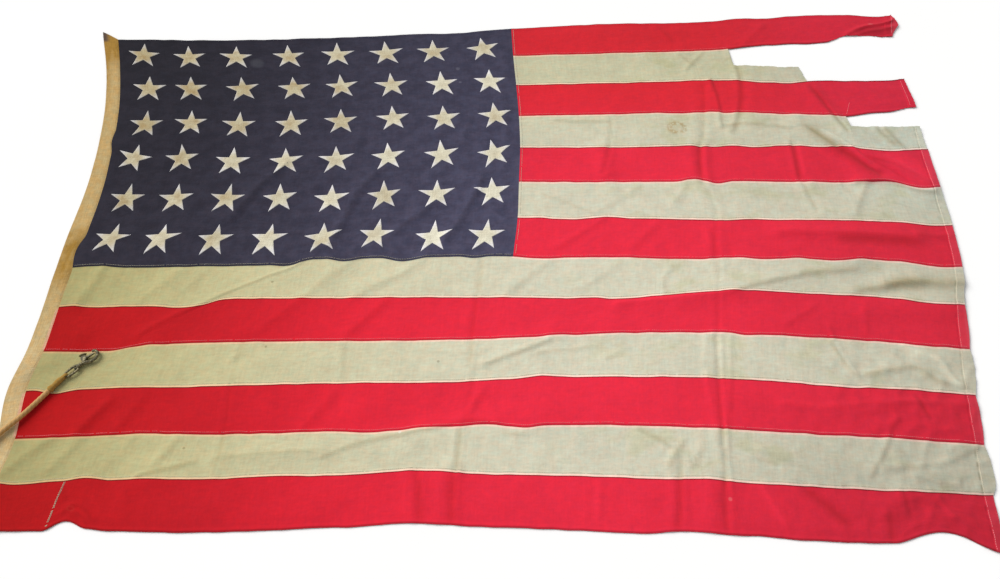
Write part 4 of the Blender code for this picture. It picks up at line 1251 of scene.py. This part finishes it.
def stripe_edges(number, along):
    """Upper and lower edge of a stripe along its length, in seams, with its tear."""
    upper = np.full(along.shape, number - 1.0)
    lower = np.full(along.shape, float(number))
    tear = TORN.get(number)
    if tear:
        beyond = along - tear["cut"]
        share = np.clip(beyond / (max(tear["ends"]) - tear["cut"]), 0.0, 1.0)
        gone = tear["gone"][0] + (tear["gone"][1] - tear["gone"][0]) * share
        gone = gone * ramp(beyond / tear["run"])
        ragged = 0.008 * swell(along / 3.1, number, 12) * (gone > 0.02)
        if tear["side"] == "upper":
            upper = upper + gone + ragged
        else:
            lower = lower - gone - ragged
    return upper, lower


def stripe_grid(number):
    """Grid of (along, seam) over one stripe; its last 60 mm are drawn out or in to its own end."""
    start = CANTON_LENGTH if number <= CANTON_STRIPES else 0.0
    tear = TORN.get(number)
    shares = rows_across(1.0, ROW_SPACING)
    end, furthest, extra = np.full(shares.shape, FLY_LENGTH), FLY_LENGTH, ()
    if number in FLY_BULGES:
        bulge, where = FLY_BULGES[number]
        share = np.where(shares < where, shares / where, (1.0 - shares) / (1.0 - where))
        end = end + bulge * (1.0 - (1.0 - share) ** 2)
        furthest = end.max()
    if tear:
        first, last = tear["ends"]
        ragged = 0.8 * swell(shares * 26.0, number, 14)
        bulge = tear["bulge"] * ramp(shares / 0.55) * ramp((1.0 - shares) / 0.45)
        end = first + (last - first) * shares + bulge + ragged
        furthest = end.max()
        extra = tear["cut"] + tear["run"] * np.linspace(0.0, 1.0, 5)
    columns = columns_along(start, furthest, extra)
    pull = np.clip((columns - furthest) / 60.0 + 1.0, 0.0, 1.0)
    along = columns[None] + (end - furthest)[:, None] * pull[None]
    upper, lower = stripe_edges(number, along)
    return along, upper + (lower - upper) * shares[:, None]


def bunting_sheet(name, along, seam, kind):
    """A sheet of bunting, a stripe's number or the canton, lying on the floor in its folds."""
    sizes, _colours = settings()
    return sheet(name, along, seam, cloth_top(along, seam, sizes.cloth / MM), lie(along, seam), bunting(kind))


class FLAG_OT_stage(bpy.types.Operator):
    """Set the camera, the soft studio light and the pale floor"""

    bl_idname = "flag.stage"
    bl_label = "Stage"

    def execute(self, context):
        scene = context.scene
        camera = bpy.data.objects.new("camera", bpy.data.cameras.new("camera"))
        camera.data.lens = CAMERA["lens"]
        camera.location = CAMERA["place"]
        camera.rotation_mode = "ZYX"
        camera.rotation_euler = CAMERA["tilt"]
        scene.collection.objects.link(camera)
        scene.camera = camera
        scene.view_settings.view_transform = "Standard"

        key = bpy.data.lights.new("key light", "SUN")
        key.energy = LIGHT["sun"]
        key.angle = math.radians(LIGHT["spread"])
        key.color = (1.0, 0.985, 0.96)
        lamp = bpy.data.objects.new("key light", key)
        lamp.rotation_euler = Vector(LIGHT["from"]).to_track_quat("Z", "Y").to_euler()
        scene.collection.objects.link(lamp)

        sky = bpy.data.worlds.new("soft room light")
        sky.use_nodes = True
        sky.node_tree.nodes["Background"].inputs["Color"].default_value = (0.97, 0.985, 1.0, 1.0)
        sky.node_tree.nodes["Background"].inputs["Strength"].default_value = LIGHT["sky"]
        scene.world = sky

        corners = np.array([(-6.0, -6.0), (6.0, -6.0), (6.0, 6.0), (-6.0, 6.0)])
        vertices = np.concatenate([corners, np.full((4, 1), -0.0002)], axis=1)
        link("floor", vertices, floor_finish(), np.array([(0, 1, 2, 3)]))
        return {"FINISHED"}


class FLAG_OT_halyard(bpy.types.Operator):
    """Lay the cord from the heading's foot to the snap hook, with its bound eye splice"""

    bl_idname = "flag.halyard"
    bl_label = "Halyard"

    def execute(self, context):
        sizes, colours = settings()
        radius = sizes.cord / 2.0 / MM
        route = np.array([CORD_INSIDE, *CORD_ROUTE])
        reach = np.concatenate([[0.0], np.cumsum(np.linalg.norm(np.diff(route, axis=0), axis=1))])
        at = np.linspace(0.0, reach[-1], 230)
        right, down, up = (smooth(reach, route[:, axis], at) for axis in range(3))
        line = metres(right, down, up)
        turn = np.linspace(0.0, TURN, 36, endpoint=False)
        strand = np.abs(np.cos(1.5 * (turn - TURN * at[:, None] / CORD_LAY)))
        bound_part = ramp((at - reach[-1] + SPLICE_LENGTH) / 6.0)[:, None]
        girth = radius * (0.88 + 0.12 * strand ** 0.7) * (1.0 - 0.35 * bound_part) * MM
        rings = points(girth * np.cos(turn), girth * np.sin(turn))
        # The second colour is the painted shade of the cord's sides and underside.
        finish = finish_of("halyard cord", cord_finish, tuple(colours.cord), (0.52, 0.28, 0.07))
        cord = tube("halyard", line, rings, finish)
        # The third number marks the grooves between the strands, which are darkened as painted shade.
        lay = points(at[:, None] * MM, turn / TURN, np.clip(1.0 - 2.0 * strand, 0.0, 1.0))
        ends = np.array([(0.0, 0.0, 0.0), (reach[-1] * MM, 0.0, 0.0)])
        mark(cord, "lay", np.concatenate([lay.reshape(-1, 3), ends]))

        # The bound end's second colour is painted shade as well.
        bound = finish_of("bound cord", cord_finish, tuple(colours.binding), (0.37, 0.20, 0.035), 0.6)
        splice = self.splice(line, at, reach[-1], bound)
        loop = self.loop(bound)
        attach(cord, "flag")
        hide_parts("cord")
        for piece in (splice, loop):
            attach(piece, "flag")
        exit_point = tuple(metres(*CORD_ROUTE[0]).tolist())
        return {"FINISHED"}

    def splice(self, line, at, total, finish):
        """The bound part before the eye: a flattened sleeve with a lump at its tail, wound with thread."""
        inside = (at > total - SPLICE_LENGTH) & (at < total - 1.0)
        middle, reach = line[inside], total - at[inside]
        share = reach / SPLICE_LENGTH
        lump = 1.9 * np.exp(-(((share - 0.80) / 0.11) ** 2))
        wide = 4.4 + lump + 0.9 * np.exp(-(((share - 0.35) / 0.15) ** 2))
        taper = np.clip((1.0 - share) / 0.14, 0.05, 1.0) ** 0.5
        wide = wide * taper * (0.86 + 0.14 * ramp(share / 0.2))
        winding = np.sin(TURN * reach / 1.5)
        wound = 1.0 + 0.03 * winding
        turn = np.linspace(0.0, TURN, 32, endpoint=False)
        across = (wide * wound)[:, None] * np.cos(turn) * MM
        upward = np.sin(turn)[None] * np.where(np.sin(turn) > 0.0, (wide * wound)[:, None] * 0.92, 4.72) * MM
        upward = upward * np.where(np.sin(turn) > 0.0, 1.0, taper[:, None])
        sleeve = tube("halyard_splice", middle, points(across, upward), finish)
        # The third number marks the winding's grooves, darkened as painted shade.
        lay = points(reach[:, None] * MM * 3.0, turn, 0.4 - 0.4 * winding[:, None])
        mark(sleeve, "lay", np.concatenate([lay.reshape(-1, 3), np.zeros((2, 3))]))
        return sleeve

    def loop(self, finish):
        """The strand through the snap's eye: a flat oval section carried over and under its end."""
        sweep = np.linspace(-0.62 * math.pi, 0.62 * math.pi, 30)
        along = EYE_ROD + 3.6 * np.cos(sweep)
        up = 3.45 * np.sin(sweep)
        tail = np.linspace(1.0, 0.0, 8)[:-1]
        along = np.concatenate([along[0] - 7.0 * tail, along, along[-1] - 7.0 * tail[::-1]])
        up = np.concatenate([up[0] + 0.9 * tail, up, up[-1] - 0.9 * tail[::-1]])
        turn = np.linspace(0.0, TURN, 16, endpoint=False)
        centre = np.stack([along, up], axis=-1)
        ahead = np.gradient(centre, axis=0)
        ahead = ahead / np.linalg.norm(ahead, axis=1)[:, None]
        normal = np.stack([-ahead[:, 1], ahead[:, 0]], axis=-1)
        section = centre[:, None] + 1.25 * np.sin(turn)[None, :, None] * normal[:, None]
        vertices = on_hook(section[..., 0], 2.9 * np.cos(turn), section[..., 1])
        ring = np.arange(len(turn))
        caps = np.stack([ring, (len(along) - 1) * len(turn) + ring[::-1]])
        strap = link("halyard_loop", vertices, finish, grid_faces(len(along), len(turn), wrap=True), caps)
        reach = np.linspace(0.0, 0.03, len(along))[:, None]
        # The third number marks grooves round the strand, darkened as painted shade.
        mark(strap, "lay", points(reach, turn, 0.25 + 0.25 * np.cos(6.0 * turn)))
        return strap


class FLAG_OT_snap_hook(bpy.types.Operator):
    """Give the swivel snap hook its old dark metal"""

    bl_idname = "flag.snap_hook"
    bl_label = "Snap hook"

    def execute(self, context):
        _sizes, colours = settings()
        finish = finish_of("old snap metal", iron_finish, tuple(colours.iron))
        for name in ("snap_eye", "snap_hook", "snap_gate"):
            frame["nodes"][name].data.materials[0] = finish
        return {"FINISHED"}


class FLAG_OT_stripes(bpy.types.Operator):
    """Sew the thirteen stripes, the top ones torn at the fly"""

    bl_idname = "flag.stripes"
    bl_label = "Stripes"

    def execute(self, context):
        for number in range(1, STRIPES + 1):
            along, seam = stripe_grid(number)
            shade = "red" if number % 2 else "white"
            stripe = bunting_sheet(f"{shade}_stripe_{number:02d}", along, seam, number)
            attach(stripe, "flag")
            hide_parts(f"stripe_{number:02d}")
            length = float(along.max() - along.min()) * MM
        return {"FINISHED"}


class FLAG_OT_canton(bpy.types.Operator):
    """Sew the navy canton"""

    bl_idname = "flag.canton"
    bl_label = "Canton"

    def execute(self, context):
        columns = columns_along(0.0, CANTON_LENGTH)
        along, seam = np.meshgrid(columns, rows_across(CANTON_STRIPES, CANTON_SPACING))
        canton = bunting_sheet("navy_canton", along, seam, "canton")
        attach(canton, "flag")
        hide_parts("canton")
        stars = sewn_stars()
        return {"FINISHED"}


def star_outline(notch):
    """Unit star: ten straight edges between its points and notches, a few stations on each."""
    corner = np.arange(10)
    radius = np.where(corner % 2 == 0, 1.0, notch)
    angle = corner * math.pi / 5.0
    corners = points(radius * np.sin(angle), radius * np.cos(angle))
    share = np.array(STAR_STATIONS)[None, :, None]
    return (corners[:, None] * (1 - share) + np.roll(corners, -1, axis=0)[:, None] * share).reshape(-1, 2)


def star_places():
    """Each star's middle as (along, seam) and its turn in radians, from the hoist row by row."""
    rows, columns = len(STAR_TURNS), STAR_COLUMNS
    row, column = np.meshgrid(np.arange(rows), np.arange(columns), indexing="ij")
    shift = np.array(STAR_SHIFTS, float)
    along = (column + 0.5) * CANTON_LENGTH / columns + shift[..., 0]
    seam = (row + 0.5) * CANTON_STRIPES / rows + shift[..., 1] / STRIPE
    return along.ravel(), seam.ravel(), np.radians(np.array(STAR_TURNS, float)).ravel()


def sewn_stars():
    """Forty-eight cotton stars: scaled copies of the outline towards the middle, rounded at the rim."""
    sizes, colours = settings()
    outline = star_outline(sizes.star_notch)
    rings = np.array([0.05, 0.35, 0.62, 0.84, 0.94, 1.0])
    rise = np.array([1.0, 1.0, 1.0, 1.08, 1.1, 0.1])
    shape = outline[None] * rings[:, None, None]
    along, seam, turn = star_places()
    random = np.random.default_rng(22)
    stations = np.array(STAR_STATIONS)[:, None]
    wobble = 1.0 + random.uniform(-0.06, 0.06, (len(along), 1, 10, 1))
    following = np.roll(wobble, -1, axis=2)[:, :, :, None] * stations
    wobble = wobble[:, :, :, None] * (1.0 - stations) + following
    wobble = wobble.reshape(len(along), 1, -1, 1)
    local = shape[None] * wobble * sizes.star / MM
    cosine, sine = np.cos(turn)[:, None, None], np.sin(turn)[:, None, None]
    across = local[..., 0] * cosine + local[..., 1] * sine
    upward = local[..., 1] * cosine - local[..., 0] * sine
    star_along = along[:, None, None] + across
    star_seam = seam[:, None, None] - upward / STRIPE
    base = cloth_top(star_along, star_seam, sizes.cloth / MM)
    top = world(star_along, star_seam, base + sizes.star_rise / MM * rise[:, None])
    under = world(star_along, star_seam, base - 0.2)
    count = len(outline)
    quads = grid_faces(len(rings), count, wrap=True)
    size = len(rings) * count
    rim = np.arange(size - count, size)
    following = np.roll(rim, -1)
    walls = np.stack([rim, rim + size, following + size, following], -1)
    hub = np.arange(count)
    quads = np.concatenate([quads, quads[:, ::-1] + size, walls])
    faces = (quads[None] + 2 * size * np.arange(len(along))[:, None, None]).reshape(-1, 4)
    hubs = np.concatenate([hub[None], hub[None, ::-1] + size])
    hubs = (hubs[None] + 2 * size * np.arange(len(along))[:, None, None]).reshape(-1, count)
    vertices = np.stack([top.reshape(len(along), -1, 3), under.reshape(len(along), -1, 3)], axis=1)
    cotton = finish_of("star cotton", star_finish, tuple(colours.star))
    stars = link("sewn_stars", vertices, cotton, faces, hubs)
    lay = points(local[..., 0] * MM, local[..., 1] * MM, np.arange(len(along))[:, None, None])
    # Stars darker towards the upper left and at the hoist's foot, with a random share: partly soiling, partly
    # painted light falloff.
    cleaner_and_lighter = 0.55 * along / CANTON_LENGTH + 0.33 * seam / CANTON_STRIPES
    hoist_foot = 0.16 * np.clip(1.0 - along / 220.0, 0.0, 1.0) * seam / CANTON_STRIPES
    dirt_and_shade = np.clip(1.08 - cleaner_and_lighter + hoist_foot + random.uniform(-0.18, 0.18, len(along)), 0.0, 1.1)
    wear_and_shade = points(np.linalg.norm(shape, axis=-1), rings[:, None], dirt_and_shade[:, None, None])
    for name, values in (("lay", lay), ("star", wear_and_shade)):
        mark(stars, name, np.repeat(values.reshape(len(along), 1, -1, 3), 2, axis=1))
    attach(stars, "flag")
    return stars


class FLAG_OT_heading(bpy.types.Operator):
    """Sew the canvas heading, opened at its foot into a sleeve for the cord"""

    bl_idname = "flag.heading"
    bl_label = "Heading"

    def execute(self, context):
        sizes, colours = settings()
        across = -np.array(HEADING_COLUMNS)
        lines = np.concatenate([np.linspace(0.0, 12.0, 270)[:-1], np.linspace(12.0, STRIPES, 60)])
        along, seam = np.meshgrid(across, lines)
        near_top = np.clip(1.0 - seam / 0.8, 0.0, 1.0)
        slanted = seam - 0.28 * np.clip(-across / HEADING_WIDTH, 0.0, 1.0) * near_top
        thickness = sizes.heading / MM
        arch = ramp((-2.0 - across) / 7.0) * ramp((across + 28.5) / 7.5)
        sleeve = (SLEEVE - thickness) * ramp((seam - 12.2) / 0.7) * arch
        flat = ramp((seam - 12.1) / 0.5)
        under = lie(along, slanted) * (1.0 - flat) + sleeve + 0.05
        rounded = np.clip(1.0 - ((-across - 26.8) / 3.3).clip(0.0, 1.0) ** 2, 0.02, 1.0) ** 0.5
        inner, outer = (np.exp(-(((across + line) / 1.2) ** 2)) for line in (3.2, 25.0))
        stitched = 0.25 * inner + 0.25 * outer
        wave = 0.35 * swell(slanted * STRIPE / 16.0, along / 14.0, 31)
        thinned = 0.3 + 0.7 * ramp((-across - 0.1) / 3.6)
        top = under + thickness * rounded * thinned - stitched + wave * rounded * stillness(along, slanted)
        top = np.maximum(top, under + 0.1)
        heading = sheet("canvas_heading", along, slanted, top, under,
                        finish_of("heading canvas", canvas_finish, tuple(colours.canvas)))
        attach(heading, "flag")
        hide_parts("heading")
        return {"FINISHED"}


def sew(along, seam, pitch, skip, seed):
    """Start and end points of the stitches along a sewn line; skip is the share worn away."""
    length = np.concatenate([[0.0], np.cumsum(np.hypot(np.diff(along), np.diff(seam) * STRIPE))])
    starts = np.arange(0.0, length[-1] - pitch, pitch)
    random = np.random.default_rng(seed)
    starts = starts[random.uniform(size=len(starts)) >= skip]
    wander = 0.25 * swell(starts / 14.0, 0.0, seed)
    return [(np.interp(at, length, along), np.interp(at, length, seam) + wander / STRIPE)
            for at in (starts, starts + pitch * 0.88)]


class FLAG_OT_stitching(bpy.types.Operator):
    """Run the thread along the seams and the fly hem, over the torn tails and the darned foot"""

    bl_idname = "flag.stitching"
    bl_label = "Stitching"

    def execute(self, context):
        sizes, _colours = settings()
        cloth = sizes.cloth / MM
        runs = {"pink": [], "cream": [], "tan": []}

        def run(kind, along, seam, skip, seed):
            count = 2 + int(abs(along[1] - along[0]) / 4.0 + abs(seam[1] - seam[0]) * STRIPE / 4.0)
            runs[kind].append((np.linspace(*along, count), np.linspace(*seam, count), skip, seed))

        ends = {1: TORN[2]["cut"] - 2.0, 2: min(TORN[2]["ends"]), 3: TORN[4]["cut"] - 2.0}
        for line in range(1, STRIPES):
            start = CANTON_LENGTH + 6.0 if line <= CANTON_STRIPES else 3.0
            end = ends.get(line, FLY_LENGTH - 1.0)
            seam = line - THREAD_ASIDE / STRIPE
            run("pink" if line % 2 else "cream", (start, end), (seam, seam), 0.04, line)
        foot = CANTON_STRIPES - THREAD_ASIDE / STRIPE
        run("tan", (3.0, CANTON_LENGTH - 1.0), (foot, foot), 0.04, 20)
        run("tan", (CANTON_LENGTH + 4.0, CANTON_LENGTH + 4.0), (0.05, CANTON_STRIPES - 0.05), 0.03, 21)
        hem = FLY_LENGTH - FLY_HEM_WIDTH + 1.2
        for number in range(5, STRIPES + 1):
            kind = "pink" if number % 2 else "cream"
            run(kind, (hem, hem), (number - 0.97, number - 0.03), 0.02, 22 + number)
        run("cream", (hem, hem), (3.48, 3.97), 0.0, 40)
        for kind, along, seam, seed in TAIL_THREADS:
            run(kind, along, seam, 0.0, seed)
        for aside in DARN["rows"]:
            run("cream", (DARN["start"] + aside, DARN["end"] + aside), DARN["seam"], 0.1, 44)
        for kind, rows in runs.items():
            self.lay(f"{kind}_stitching", rows, cloth, sizes, thread_of(kind))
        return {"FINISHED"}

    def lay(self, name, runs, cloth, sizes, finish):
        """Join the runs of stitches into one piece that lies on the cloth's upper face."""
        first, last = [], []
        for along, seam, skip, seed in runs:
            for side, (a, s) in zip((first, last), sew(along, seam, sizes.stitch / MM, skip, seed)):
                side.append(world(a, s, cloth_top(a, s, cloth) + THREAD_LIFT))
        piece = stitches(name, np.concatenate(first), np.concatenate(last), sizes.thread, finish)
        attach(piece, "flag")
        return piece


class FLAG_PT_panel(bpy.types.Panel):
    """The flag's steps and its sizes and colours"""

    bl_idname = "FLAG_PT_panel"
    bl_label = "Tattered Flag"
    bl_space_type = "VIEW_3D"
    bl_region_type = "UI"
    bl_category = "Flag"

    def draw(self, context):
        for operator in STEPS:
            self.layout.operator(operator.bl_idname)
        for group in (context.scene.flag_sizes, context.scene.flag_colours):
            box = self.layout.box()
            for name in group.__annotations__:
                box.prop(group, name)


STEPS = (FLAG_OT_stage, FLAG_OT_halyard, FLAG_OT_snap_hook, FLAG_OT_stripes, FLAG_OT_canton,
         FLAG_OT_heading, FLAG_OT_stitching)
CLASSES = (FLAG_PG_sizes, FLAG_PG_colours, *STEPS, FLAG_PT_panel)


def register():
    for each in CLASSES:
        bpy.utils.register_class(each)
    bpy.types.Scene.flag_sizes = bpy.props.PointerProperty(type=FLAG_PG_sizes)
    bpy.types.Scene.flag_colours = bpy.props.PointerProperty(type=FLAG_PG_colours)


def unregister():
    del bpy.types.Scene.flag_colours
    del bpy.types.Scene.flag_sizes
    for each in reversed(CLASSES):
        bpy.utils.unregister_class(each)


def main():
    register()
    for step in STEPS:
        category, name = step.bl_idname.split(".")
        getattr(getattr(bpy.ops, category), name)()


if __name__ == "__main__":
    main()
